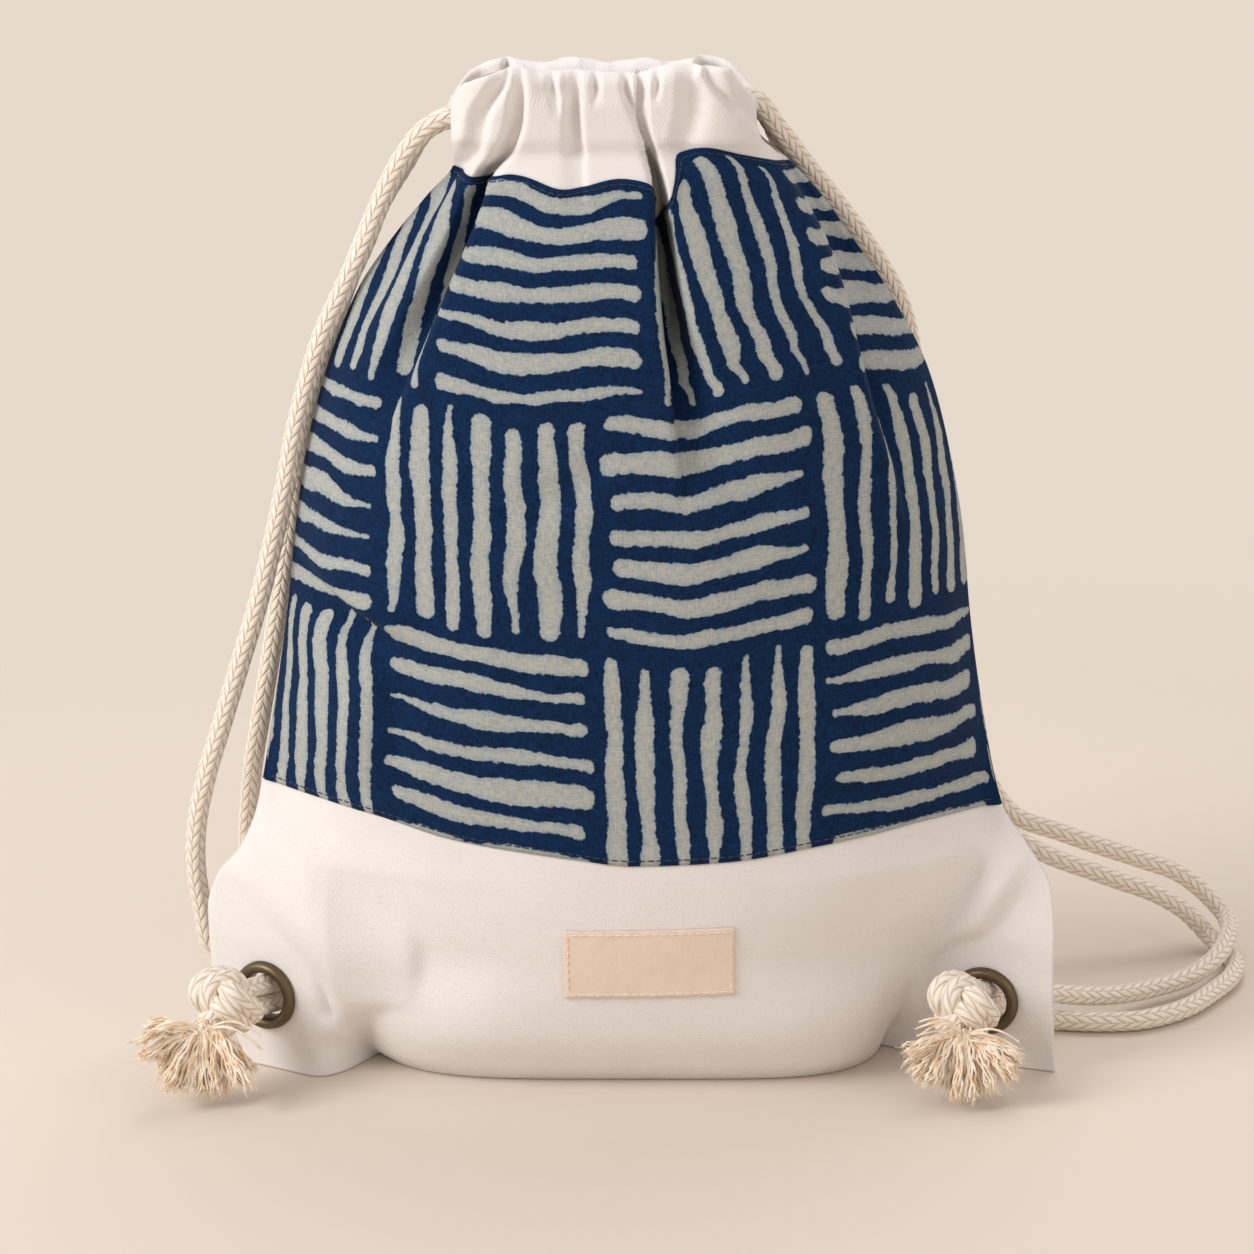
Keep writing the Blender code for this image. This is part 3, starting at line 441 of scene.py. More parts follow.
def slackCloth(side, x, z, depth, beyond):
    # the cloth doesn't reach into the corner between body and ear: it bridges it, away from the eyelets
    near = eyeletDistance(x, z)
    if side < 0:
        cx, cy, cz = earLeft["centre"]
        lean = math.tan(earLeft["turn"])
        flat = lean * (x - cx) - cy
        chord = lean * (slack["crest"] - cx) - cy + slack["chord"] * (x - slack["crest"])
        ahead = (flat + chord - np.hypot(flat - chord, 4.0)) / 2 * (1.0 - smooth(50.0, 150.0, z))
        ahead = ahead * halfDepth(z) / halfDepth(60.0)
        lift = np.maximum(earPlane(x, z) + ahead, 0.0) * smooth(-45.0, -90.0, x)
        lift = lift * smooth(0.0, 36.0, z) * (1.0 - smooth(78.0, 128.0, z))
        depth = (depth + lift + np.hypot(depth - lift, np.minimum(lift, 4.0))) / 2
    size = slack["size"] * smooth(2.0, 26.0, z) * (1.0 - smooth(75.0, 125.0, z)) * smooth(15.0, 30.0, near)
    sunk = depth - slack["slope"] * beyond * (size > 0)
    depth = (sunk + np.hypot(sunk, size)) / 2
    if side < 0:
        # a taut facet runs up from the crease beside the left eyelet to the ridge above it
        up = 0.68 * (x + 168.0) + 0.73 * (z - 71.0)
        free = smooth(-116.0, -98.0, x) + smooth(84.0, 112.0, z) + smooth(26.0, 8.0, z)
        facet = earPlane(x, z) + flat + slack["facet"] * np.maximum(up, 0.0) + bag["earLayer"] + 150.0 * free
        depth = (depth + facet - np.hypot(depth - facet, 2.0)) / 2
    return depth


def bulge(side, x, z, folded=True):
    # how far the outer face of the cloth stands from the middle surface; boxy and power set how square
    # and how full the body's section is at each height
    left, right = leftEdge(z), rightEdge(z)
    middle = (left + right) / 2
    onLeft = x < middle
    edge = np.where(onLeft, middle - left, right - middle)
    crease = np.where(onLeft, creaseAt[-1](z) + middle, creaseAt[1](z) - middle)
    reach = np.minimum(edge, crease)
    s = np.minimum(np.abs(x - middle) / reach, 1.0)
    boxy = 2.3 + 2.7 * (1.0 - smooth(0.0, 58.0, z)) + 2.5 * smooth(350.0, 385.0, z)
    power = 0.58 + 0.28 * smooth(25.0, 60.0, z) * (1.0 - smooth(95.0, 150.0, z))
    depth = halfDepth(z) * (1.0 - s ** boxy) ** power
    fold = foldDepth(side, x, z) if folded else 0.0
    depth = depth - fold
    if side < 0:
        ahead = np.abs(earPlane(x, z))
        depth = (depth - ahead + np.hypot(depth - ahead, np.minimum(ahead, 5.0))) / 2
    depth = slackCloth(side, x, z, depth, np.maximum(np.abs(x - middle) - crease, 0.0))
    end = np.minimum(1.0, np.abs(x - middle) / edge)
    # the side seams are sewn shut: above the ears both cloths turn in until they meet
    shut = 0.93 * smooth(0.972, 1.0, end) * smooth(92.0, 122.0, z)
    layer = bag["earLayer"] * leanFactor(x, z) * (1.0 - shut)
    body = np.hypot(np.maximum(depth, 0.0) * (1.0 - end ** 14) ** 0.5, layer)
    if folded:
        near = eyeletDistance(x, z)
        loose = 1.1 * latticeNoise(x, z, 42.0, 3 + side) + 0.4 * latticeNoise(x, z, 17.0, 8 + side)
        loose = loose * (0.5 + 0.5 * smooth(80.0, 130.0, z)) * (1.0 - smooth(330.0, 360.0, z))
        still = smooth(0.0, 14.0, z) * smooth(14.5, 18.5, near) * (1.0 - end ** 12)
        body = np.maximum(body + (loose + creaseRise(side, x, z)) * still, layer)
    lane = bag["ropeLane"] + bag["channelHalf"] + 0.3
    channel = bag["mouthHalf"] + (lane - bag["mouthHalf"]) * (1.0 - end ** 8) ** 0.6
    mouth = smooth(362.0, 376.0, z)
    # the drawn channel swells out between its folds, whose floors stay clear of the rope
    gathered = smooth(-37.0, -31.0, x) * (1.0 - smooth(4.0, 9.0, x)) * smooth(387.0, 399.0, z)
    swell = lobeHeight * (1.0 - end ** 10) * (1.0 - 0.4 * gathered) * mouth - fold
    swell = (swell + np.hypot(swell, 1.5)) / 2
    return body * (1.0 - mouth) + (channel + swell) * mouth


def skin(side, s, z):
    # points of the outer face of the bag as an array whose last axis is x, y, z
    x = widthAt(s, z)
    z = z + 0.0 * x
    return np.stack([x + foldLap(side, x, z), earPlane(x, z) + side * bulge(side, x, z), z], axis=-1)


def spread(n):
    u = np.linspace(-1.0, 1.0, n + 1)
    return 0.3 * np.sin(math.pi / 2 * u) + 0.7 * u


def pleatDip(side, s):
    off = widthAt(s, bag["topSeam"]) - seamDip["at"]
    reach = np.where(off < 0, seamDip["left"], seamDip["right"])
    return -seamDip["deep"] * np.exp(-(off / reach) ** 2) * (side < 0)


def seamHeights(side):
    s = spread(bag["columns"])
    low = bag["baseSeam"] + baseSeamAt(widthAt(s, bag["baseSeam"]))
    high = bag["topSeam"] + topSeamAt[side](widthAt(s, bag["topSeam"])) + pleatDip(side, s)
    return s, low, high


def printGrid(side):
    s, low, high = seamHeights(side)
    share = np.linspace(0.0, 1.0, bag["printRows"] + 1)[:, None]
    low, high = low - bag["lap"], high + bag["lap"]
    z = low + (high - low) * share + pleatDip(side, s) * (share ** 7 - share)
    return proudSkin(side, s[None, :] + 0 * share, z, low, high)


def proudSkin(side, s, z, low, high):
    # the skin, lifted where the seam allowance is pressed up behind the cloth's two edges
    here = skin(side, s, z)
    out = np.cross(skin(side, s + 0.002, z) - here, skin(side, s, z + 0.4) - here) * -side
    out = out / np.maximum(np.linalg.norm(out, axis=-1, keepdims=True), 1e-9)
    edge = np.minimum(z - low, high - z)
    lift = bag["proud"] * (1.0 - smooth(4.0, 8.0, edge)) * (1.0 - smooth(0.97, 0.995, np.abs(s)))
    return here + lift[..., None] * out


def baseGrid(side):
    # from the lower seam down the face, then under the foot to the bottom seam
    s, low, high = seamHeights(side)
    share = np.linspace(1.0, 0.0, bag["faceRows"] + 1)[:, None] ** 1.25
    face = skin(side, s[None, :] + 0 * share, low * share)
    edge = face[-1]
    middle = earPlane(edge[:, 0], 0.0 * edge[:, 0])
    stand = side * (edge[:, 1] - middle)
    flat = bag["seamGap"] / 2 * leanFactor(edge[:, 0], 0.0 * edge[:, 0])
    under = []
    for part in np.linspace(1.0, 0.0, bag["footRows"] + 1)[1:]:
        y = middle + side * (flat + (stand - flat) * part)
        under.append(np.stack([edge[:, 0], y, 0.0 * stand], axis=-1))
    return np.concatenate([face, np.array(under)])


def channelGrid(side):
    # from the upper seam up the outer wall, over the top, down inside and back to the wall
    s, low, foot = seamHeights(side)
    hook = 1.0 - smooth(0.43, 0.50, np.abs(s))
    rise = smooth(0.505, 0.575, np.abs(s))
    end = smooth(0.58, 0.645, np.abs(s))
    gapHalf = bag["channelHalf"] * (1 - end) + 2.6 * end
    edgeX = widthAt(s, bag["height"] - 4.0)
    shoulder = bag["height"] - 0.6 + topEdgeAt[side](edgeX) - gapHalf

    def wall(z):
        return bulge(side, widthAt(s, z), z)

    bottom = bag["channelBottom"]
    heights = [foot + (bottom - foot) * share for share in np.linspace(0, 1, 13)[:-1]]
    heights += [bottom + (shoulder - bottom) * share for share in np.linspace(0, 1, 17)]
    path = [(wall(z), z) for z in heights]
    outerY = wall(shoulder)
    innerY = (bag["ropeLane"] - bag["channelHalf"]) * (1 - end) + (outerY - 2 * gapHalf) * end
    middle, half = (outerY + innerY) / 2, (outerY - innerY) / 2
    for angle in np.linspace(0, math.pi, 15)[1:-1]:
        path.append((middle + half * math.cos(angle), shoulder + gapHalf * math.sin(angle)))
    legEnd = (bottom + 4.0) * (1 - rise) + (shoulder - 1.0) * rise
    path += [(innerY + 0 * s, shoulder + (legEnd - shoulder) * share) for share in np.linspace(0, 1, 10)]
    reach = hook * (wall(bottom + 0 * s) - bag["cloth"] - bag["seamGap"] - innerY)
    for share, drop in ((0.12, 1.2), (0.28, 2.4), (0.62, 3.6), (1.0, 4.0)):
        path.append((innerY + share * reach, legEnd - drop * hook - 0.3 * drop * (1 - hook)))
    rows = []
    for stand, z in path:
        z = z + 0 * s
        x = widthAt(s, z)
        rows.append(np.stack([x + foldLap(side, x, z), side * stand, z], axis=-1))
    return np.array(rows)


def gridMesh(points, layer="cloth", uvs=None):
    # bmesh grid moved to rows and columns of points in millimetres, with uvs in metres
    rows, cols = points.shape[:2]
    bm = bmesh.new()
    bmesh.ops.create_grid(bm, x_segments=cols - 1, y_segments=rows - 1, size=1.0)
    bm.verts.ensure_lookup_table()
    places = np.array([v.co[:2] for v in bm.verts])
    order = np.lexsort((np.round(places[:, 0], 5), np.round(places[:, 1], 5)))
    flat = points.reshape(-1, 3) * mm
    number = np.empty(len(order), dtype=int)
    number[order] = np.arange(len(order))
    for vert, index in zip(bm.verts, number):
        vert.co = flat[index]
    if uvs is not None:
        table = uvs.reshape(-1, 2)
        uvLayer = bm.loops.layers.uv.new(layer)
        for face in bm.faces:
            for loop in face.loops:
                loop[uvLayer].uv = table[number[loop.vert.index]]
    return bm


def clothUvs(points, startV=0.0, upward=1):
    # length along the threads from the middle column and from the first row, in metres
    # the print runs across the main pleat almost as if it weren't there
    hidden = np.exp(-((points[:, 1:, 0] - pleatHides["at"]) / pleatHides["reach"]) ** 2) * pleatHides["share"]
    steps = np.diff(points, axis=1)
    steps[..., 1] *= 1.0 - hidden
    across = np.linalg.norm(steps, axis=2)
    u = np.concatenate([np.zeros((len(points), 1)), np.cumsum(across, axis=1)], axis=1)
    middle = np.argmin(np.abs(points[len(points) // 3, :, 0]))
    u = u - u[:, middle:middle + 1]
    along = np.linalg.norm(np.diff(points, axis=0), axis=2).mean(axis=1)
    v = startV + upward * np.concatenate([[0.0], np.cumsum(along)])
    return np.stack([u, v[:, None] + 0 * u], axis=-1) * mm


def punchEyelets(bm):
    # takes the cloth away inside the eyelets' barrels
    gone = []
    for ear in (earLeft, earRight):
        out = Vector((-math.sin(ear["turn"]), -math.cos(ear["turn"]), 0.0))
        for face in bm.faces:
            off = face.calc_center_median() / mm - Vector(ear["centre"])
            if off.length < 30.0 and (off - out * off.dot(out)).length < bag["eyeletHole"]:
                gone.append(face)
    bmesh.ops.delete(bm, geom=gone, context="FACES")


def clothPiece(name, node, points, side, look, uvs):
    bm = gridMesh(points, uvs=uvs)
    if node.endswith("base_panel"):
        punchEyelets(bm)
    piece = newPiece(name, bm, look)
    wall = piece.modifiers.new("cloth thickness", "SOLIDIFY")
    wall.thickness = bag["cloth"] * mm * 0.9
    wall.offset = -1.0
    wall.use_even_offset = False
    # the grid's own normal has to point out of the bag
    bm = bmesh.new()
    bm.from_mesh(piece.data)
    bm.faces.ensure_lookup_table()
    centre = sum((f.normal * f.calc_area() for f in bm.faces[: len(bm.faces) // 2]), Vector())
    if centre.y * side < 0:
        bmesh.ops.reverse_faces(bm, faces=bm.faces[:])
    bm.to_mesh(piece.data)
    bm.free()
    return asPart(piece, node)


# Cloths

printSet = {  # blocks of resist-dyed stripes, in millimetres along the threads
    "block": (88.0, 93.0, 1.0), "start": (12.0, 8.0, 0.0), "upperRow": 178.0, "upperShift": 21.0,
    "stripes": 7.0, "pitch": 13.0, "half": 2.3, "halfSpread": 2.2, "inset": 1.5, "insetSpread": 4.5,
    "indigo": "#0d3059", "indigoDeep": "#061832", "undyed": "#98a0a1", "undyedWarm": "#b7b6ae",
    "bleed": "#6d8ba3", "speck": "#5c666b",
}
twillSet = {"pale": "#f0ecea", "shade": "#e8e2de", "slub": "#d8cbbf", "rib": 1.4, "bandStart": 272.0}


def threadPlace(tree):
    # the cloth's own map, in millimetres along its threads
    uv = addNode(tree, "UVMap", uv_map="cloth")[0]
    return addNode(tree, "VectorMath SCALE", {0: uv, "Scale": 1000.0})[0]


def threadBump(tree, place):
    # height from slubby threads both ways, drawn coarse enough to show
    across = addNode(tree, "VectorMath MULTIPLY", place, (1.6, 0.28, 1.0))[0]
    along = addNode(tree, "VectorMath MULTIPLY", place, (0.28, 1.6, 1.0))[0]
    warp = addNode(tree, "TexNoise", {"Vector": across, "Scale": 1.0, "Detail": 2.0})["Fac"]
    weft = addNode(tree, "TexNoise", {"Vector": along, "Scale": 1.0, "Detail": 2.0})["Fac"]
    return addNode(tree, "Math ADD", warp, weft)[0]


def makeTwill():
    # unbleached cotton twill, woven: matt, creamy, with fine slanted ribs and a few darker slubs
    look, tree, shader = newMaterial("unbleached cotton twill")
    place = threadPlace(tree)
    threads = threadBump(tree, place)
    parts = addNode(tree, "SeparateXYZ", place)
    slant = addNode(tree, "Math MULTIPLY_ADD", parts[1], 0.7, parts[0])[0]
    turns = addNode(tree, "Math MULTIPLY", slant, 2 * math.pi / twillSet["rib"])[0]
    rib = addNode(tree, "Math SINE", turns)[0]
    cloud = addNode(tree, "TexNoise", {"Vector": place, "Scale": 0.03, "Detail": 3.0})["Fac"]
    fleck = addNode(tree, "TexNoise", {"Vector": place, "Scale": 0.9, "Detail": 3.0})["Fac"]
    flecks = addNode(tree, "MapRange", fleck, 0.66, 0.8, 0.0, 0.55)[0]
    tone = addNode(tree, "Mix", {0: cloud, 6: linear(twillSet["pale"]), 7: linear(twillSet["shade"])},
                   data_type="RGBA")[2]
    tone = addNode(tree, "Mix", {0: flecks, 6: tone, 7: linear(twillSet["slub"])}, data_type="RGBA")[2]
    ribs = addNode(tree, "Math MULTIPLY_ADD", rib, 0.22, threads)[0]
    bump = addNode(tree, "Bump", {"Height": ribs, "Strength": 0.35, "Distance": 0.0006})[0]
    fillSockets(tree, shader, {"Base Color": tone, "Normal": bump, "Roughness": 0.92, "Sheen Weight": 0.12,
                               "Specular IOR Level": 0.2})
    return look


def makeIndigo():
    # indigo cotton, dyed over hand-painted paste: matt, with soft-edged undyed stripes in turned blocks
    look, tree, shader = newMaterial("resist-dyed indigo cotton")
    place = threadPlace(tree)
    drift = addNode(tree, "TexNoise", {"Vector": place, "Scale": 0.022, "Detail": 1.0})["Color"]
    drift = addNode(tree, "VectorMath MULTIPLY_ADD", drift, (9.0, 9.0, 0.0), (-4.5, -4.5, 0.0))[0]
    moved = addNode(tree, "VectorMath ADD", place, drift)[0]
    height = addNode(tree, "SeparateXYZ", moved)[1]
    upper = addNode(tree, "Math GREATER_THAN", height, printSet["upperRow"])[0]
    shift = addNode(tree, "Math MULTIPLY", upper, -printSet["upperShift"])[0]
    shift = addNode(tree, "CombineXYZ", shift)[0]
    moved = addNode(tree, "VectorMath ADD", moved, shift)[0]
    moved = addNode(tree, "VectorMath ADD", moved, printSet["start"])[0]
    share = addNode(tree, "VectorMath DIVIDE", moved, printSet["block"])[0]
    block = addNode(tree, "VectorMath FLOOR", share)[0]
    within = addNode(tree, "VectorMath FRACTION", share)[0]
    number = addNode(tree, "SeparateXYZ", block)
    spot = addNode(tree, "SeparateXYZ", within)
    total = addNode(tree, "Math ADD", number[0], number[1])[0]
    turned = addNode(tree, "Math FLOORED_MODULO", total, 2.0)[0]
    across = addNode(tree, "Mix", {0: turned, 2: spot[0], 3: spot[1]}, data_type="FLOAT")[0]
    along = addNode(tree, "Mix", {0: turned, 2: spot[1], 3: spot[0]}, data_type="FLOAT")[0]
    reach = addNode(tree, "Mix", {0: turned, 2: printSet["block"][1], 3: printSet["block"][0]},
                    data_type="FLOAT")[0]
    along = addNode(tree, "Math SUBTRACT", along, 0.5)[0]
    along = addNode(tree, "Math MULTIPLY", along, reach)[0]
    across = addNode(tree, "Math MULTIPLY", across, printSet["stripes"])[0]
    stripe = addNode(tree, "Math FLOOR", across)[0]
    offset = addNode(tree, "Math FRACT", across)[0]
    offset = addNode(tree, "Math SUBTRACT", offset, 0.5)[0]
    offset = addNode(tree, "Math MULTIPLY", offset, printSet["pitch"])[0]
    name = addNode(tree, "Math MULTIPLY_ADD", number[0], 9.0, stripe)[0]
    name = addNode(tree, "CombineXYZ", name, number[1])[0]
    dice = addNode(tree, "TexWhiteNoise", {"Vector": name})["Color"]
    dice = addNode(tree, "SeparateColor", dice)
    # the hand wavers: each stripe drifts sideways and swells along its length
    travel = addNode(tree, "Math MULTIPLY", along, 0.04)[0]
    seed = addNode(tree, "VectorMath MULTIPLY", name, (5.3, 7.1, 0.0))[0]
    travel = addNode(tree, "CombineXYZ", travel)[0]
    travel = addNode(tree, "VectorMath ADD", travel, seed)[0]
    waver = addNode(tree, "TexNoise", {"Vector": travel, "Scale": 1.0, "Detail": 2.5})
    waver = addNode(tree, "SeparateColor", waver["Color"])
    sway = addNode(tree, "Math MULTIPLY_ADD", waver[0], 4.4, -2.2)[0]
    offset = addNode(tree, "Math ADD", offset, sway)[0]
    half = addNode(tree, "Math MULTIPLY_ADD", dice[0], printSet["halfSpread"], printSet["half"])[0]
    swell = addNode(tree, "Math MULTIPLY_ADD", waver[1], 4.2, -2.1)[0]
    half = addNode(tree, "Math ADD", half, swell)[0]
    reach = addNode(tree, "Math MULTIPLY", reach, 0.5)[0]
    inset = addNode(tree, "Math MULTIPLY_ADD", dice[1], printSet["insetSpread"], printSet["inset"])[0]
    reach = addNode(tree, "Math SUBTRACT", reach, inset)[0]
    # one end of each stripe runs out thin, as the brush leaves the cloth
    end = addNode(tree, "Math GREATER_THAN", dice[2], 0.5)[0]
    end = addNode(tree, "Math MULTIPLY_ADD", end, 2.0, -1.0)[0]
    left = addNode(tree, "Math MULTIPLY", along, end)[0]
    left = addNode(tree, "Math SUBTRACT", reach, left)[0]
    thin = addNode(tree, "Math MULTIPLY", dice[2], 7.0)[0]
    thin = addNode(tree, "Math FRACT", thin)[0]
    thin = addNode(tree, "MapRange", thin, 0.0, 1.0, 1.0, 0.22)[0]
    thin = addNode(tree, "MapRange", left, 0.0, 24.0, thin, 1.0, interpolation_type="SMOOTHSTEP")[0]
    half = addNode(tree, "Math MULTIPLY", half, thin)[0]
    # distance to the stripe's rounded outline
    side = addNode(tree, "Math ABSOLUTE", offset)[0]
    tip = addNode(tree, "Math ABSOLUTE", along)[0]
    rounding = addNode(tree, "Math MULTIPLY", half, 0.92)[0]
    side = addNode(tree, "Math SUBTRACT", side, half)[0]
    side = addNode(tree, "Math ADD", side, rounding)[0]
    tip = addNode(tree, "Math SUBTRACT", tip, reach)[0]
    tip = addNode(tree, "Math ADD", tip, rounding)[0]
    sideOut = addNode(tree, "Math MAXIMUM", side, 0.0)[0]
    tipOut = addNode(tree, "Math MAXIMUM", tip, 0.0)[0]
    corner = addNode(tree, "CombineXYZ", sideOut, tipOut)[0]
    corner = addNode(tree, "VectorMath LENGTH", corner)["Value"]
    inner = addNode(tree, "Math MAXIMUM", side, tip)[0]
    inner = addNode(tree, "Math MINIMUM", inner, 0.0)[0]
    gap = addNode(tree, "Math ADD", corner, inner)[0]
    gap = addNode(tree, "Math SUBTRACT", gap, rounding)[0]
    rough = addNode(tree, "TexNoise", {"Vector": place, "Scale": 0.34, "Detail": 5.0,
                                       "Roughness": 0.62})["Fac"]
    rough = addNode(tree, "Math MULTIPLY_ADD", rough, 3.2, -1.6)[0]
    gap = addNode(tree, "Math ADD", gap, rough)[0]
    bare = addNode(tree, "MapRange", gap, 0.35, -0.35, 0.0, 1.0, interpolation_type="SMOOTHSTEP")[0]
    stain = addNode(tree, "MapRange", gap, -2.2, 0.0, 0.0, 0.75)[0]
    patch = addNode(tree, "TexNoise", {"Vector": place, "Scale": 0.12, "Detail": 3.0})["Fac"]
    stain = addNode(tree, "Math MULTIPLY", stain, patch)[0]
    threads = threadBump(tree, place)
    thready = addNode(tree, "MapRange", threads, 0.75, 1.25, 0.0, 1.0)[0]
    grain = addNode(tree, "TexNoise", {"Vector": place, "Scale": 0.8, "Detail": 4.0,
                                       "Roughness": 0.7})["Fac"]
    grain = addNode(tree, "Math ADD", grain, thready)[0]
    grain = addNode(tree, "MapRange", grain, 0.55, 1.35)[0]
    undyed = addNode(tree, "Mix", {0: grain, 6: linear(printSet["undyed"]),
                                   7: linear(printSet["undyedWarm"])}, data_type="RGBA")[2]
    undyed = addNode(tree, "Mix", {0: stain, 6: undyed, 7: linear(printSet["bleed"])}, data_type="RGBA")[2]
    # specks of dye that crept under the paste
    speck = addNode(tree, "TexNoise", {"Vector": place, "Scale": 1.3, "Detail": 2.0})["Fac"]
    speck = addNode(tree, "MapRange", speck, 0.66, 0.74, 0.0, 0.55)[0]
    undyed = addNode(tree, "Mix", {0: speck, 6: undyed, 7: linear(printSet["speck"])}, data_type="RGBA")[2]
    depth = addNode(tree, "Math MULTIPLY_ADD", patch, 0.75, thready)[0]
    depth = addNode(tree, "MapRange", depth, 0.3, 1.5, 0.0, 1.0)[0]
    dyed = addNode(tree, "Mix", {0: depth, 6: linear(printSet["indigoDeep"]),
                                 7: linear(printSet["indigo"])}, data_type="RGBA")[2]
    tone = addNode(tree, "Mix", {0: bare, 6: dyed, 7: undyed}, data_type="RGBA")[2]
    bump = addNode(tree, "Bump", {"Height": threads, "Strength": 0.3, "Distance": 0.0005})[0]
    fillSockets(tree, shader, {"Base Color": tone, "Normal": bump, "Roughness": 0.9, "Sheen Weight": 0.03,
                               "Specular IOR Level": 0.12})
    return look


whiteLook = makeTwill()
indigoLook = makeIndigo()

for side, word in ((-1, "front"), (1, "back")):
    points = printGrid(side)
    cloth = clothPiece(word + "PrintPanel", word + "_print_panel", points, side, indigoLook,
                       clothUvs(points))
    points = baseGrid(side)
    cloth = clothPiece(word + "BasePanel", word + "_base_panel", points, side, whiteLook,
                       clothUvs(points, 0.0, -1))
    points = channelGrid(side)
    clothPiece(word + "TopBand", word + "_top_band", points, side, whiteLook,
               clothUvs(points, twillSet["bandStart"]))
print("cloth panels")

# Ropes: the CAD's own routes, as round braids with herringbone relief

# the crevice colour is a darker cream painted between the strands as shade
ropeSet = {"around": 32, "ring": 1.05, "columns": 8, "pitch": 5.4, "slant": 0.9, "relief": 0.42,
           "cotton": "#fbf3ea", "creviceShade": "#e0ccb5", "warm": "#f3e6d6"}
ears = {"left": earLeft, "right": earRight}
knotSet = {"left": {"centre": Vector((-160.5, -53.0, 36.0)), "turn": -35.0},
           "right": {"centre": Vector((131.5, -52.0, 33.5)), "turn": -40.0},
           "radius": 13.0, "overlap": 4.0, "gap": 0.3, "behind": 13.0,
           "apart": 2.9, "strand": 4.3, "tall": 0.22}
strandApart = bag["ropeRadius"] + 0.2


def knotAxis(side):
    return (knotSet[side]["centre"] - Vector(ears[side]["centre"])).normalized()


def strandEnd(side, level):
    # from the knot's flat face through the eyelet: level is 1 for the upper strand, -1 for the lower
    axis = knotAxis(side)
    lift = (Vector((0, 0, 1)) - axis * axis.z).normalized() * level * strandApart
    face = knotSet[side]["centre"] - axis * (knotSet["radius"] - knotSet["overlap"] + knotSet["gap"])
    centre = Vector(ears[side]["centre"])
    return [face + lift, face.lerp(centre, 0.5) + lift, centre + lift,
            centre - axis * knotSet["behind"] + lift]


def channelRun(turnX, openX, level, towards):
    # through the front channel, round at the far end and back through the back channel
    straight = [openX + (turnX - openX) * share for share in (0.0, 0.33, 0.66, 1.0)]
    lane = bag["ropeLane"]
    front = [(x, -lane, level) for x in straight]
    turn = [(turnX + towards * lane * math.cos(a), lane * math.sin(a), level)
            for a in (-math.pi / 4, 0.0, math.pi / 4)]
    return front + turn + [(x, lane, level) for x in reversed(straight)]


routes = {
    "left": (
        strandEnd("left", 1)
        + [(-142, 3, 31), (-152, 12, 29.5), (-164, 13, 31), (-172.6, 10.5, 39.5),
           (-175.4, 9, 55), (-177.3, 6, 76), (-176.1, 4, 93), (-171.4, 2, 114),
           (-164.3, 0, 136.6), (-156.6, -1, 161), (-147.3, -2, 190.7), (-141.2, -2, 214.5),
           (-136, -2, 237), (-131.4, -2, 259.5), (-126.4, -2, 277.5), (-119.4, -2, 298),
           (-112, -2, 313.6), (-103.3, -2, 332), (-95.9, -2, 350), (-87.4, -3, 366),
           (-78, -4.4, 377), (-68.5, -4.8, bag["lowLevel"]), (-60, -7.5, bag["lowLevel"])]
        + channelRun(26, -47, bag["lowLevel"], 1)
        + [(-60, 7.5, bag["lowLevel"]), (-68.5, 4.8, bag["lowLevel"]), (-78.6, 5, 375.6), (-88, 8, 361.5),
           (-96.2, 11, 348.3), (-108.5, 13, 321), (-118.3, 14, 294.8), (-130.4, 16, 255.7),
           (-137.4, 16, 210.2), (-143.1, 16, 174.4), (-149.7, 16, 137.8), (-154.2, 18, 112.9),
           (-156.6, 22, 93.2), (-158, 27, 78), (-158, 34, 58), (-156, 44, 36),
           (-148, 58, 15), (-130, 71, 6), (-100, 81, 4.2), (-50, 89, 4.2),
           (0, 93, 4.2), (30, 102, 4.2), (41, 119, 4.2), (31, 136, 4.2), (0, 144, 4.2),
           (-50, 144, 4.2), (-100, 137, 4.2), (-138, 118, 4.2), (-156, 90, 4.2),
           (-159, 62, 4.8), (-155, 38, 8), (-148.5, 18, 14.5), (-141.5, 3, 20.5)]
        + strandEnd("left", -1)[::-1]
    ),
    "right": (
        strandEnd("right", 1)
        + [(156.5, 4, 23.5), (165, 11, 18.5), (175, 16.5, 15), (202, 31, 8.6),
           (220, 43, 7), (240, 57.5, 8), (253, 73, 11.4), (259.5, 90, 13.2),
           (262.6, 105, 13.2), (262, 117, 15), (255.5, 122, 21.4), (242.6, 120, 32.1),
           (224.2, 116, 40.4), (205.9, 112, 47.7), (187.7, 108, 55.5), (168, 105, 63.8),
           (150, 99, 92), (139.5, 91, 130), (132.5, 82, 172), (126, 71, 215),
           (118.5, 60, 258), (109.1, 48, 299.6), (91.2, 34, 330.3), (81, 26, 344.3),
           (69.3, 15, 359.5), (57, 2, 376.5), (47.5, -4.6, 388), (38, -8, bag["highLevel"])]
        + channelRun(-48, 27.5, bag["highLevel"], -1)
        + [(38, 8, bag["highLevel"]), (46.5, 3.8, 388), (53.5, 6.5, 380), (59.5, 17, 367),
           (70, 28.5, 350), (81, 37.5, 334.5), (91, 45, 319), (105, 58, 286), (113.5, 70, 248),
           (120.5, 81, 205), (126.5, 90, 162), (133.5, 96, 122), (146, 98, 86),
           (160, 97, 62.5), (176.2, 97, 51.3), (205, 102, 38.2), (235.1, 108, 24.6),
           (246, 112, 16), (253.5, 112, 8), (258.8, 101, 4.2), (262, 86, 4.2),
           (258, 66, 4.2), (247.5, 47.5, 4.2), (231, 26, 4.2), (212, 14, 4.2),
           (192, 12, 4.2), (175, 13.5, 4.8), (165.5, 9.5, 8.5), (156.5, 2.5, 14)]
        + strandEnd("right", -1)[::-1]
    ),
}


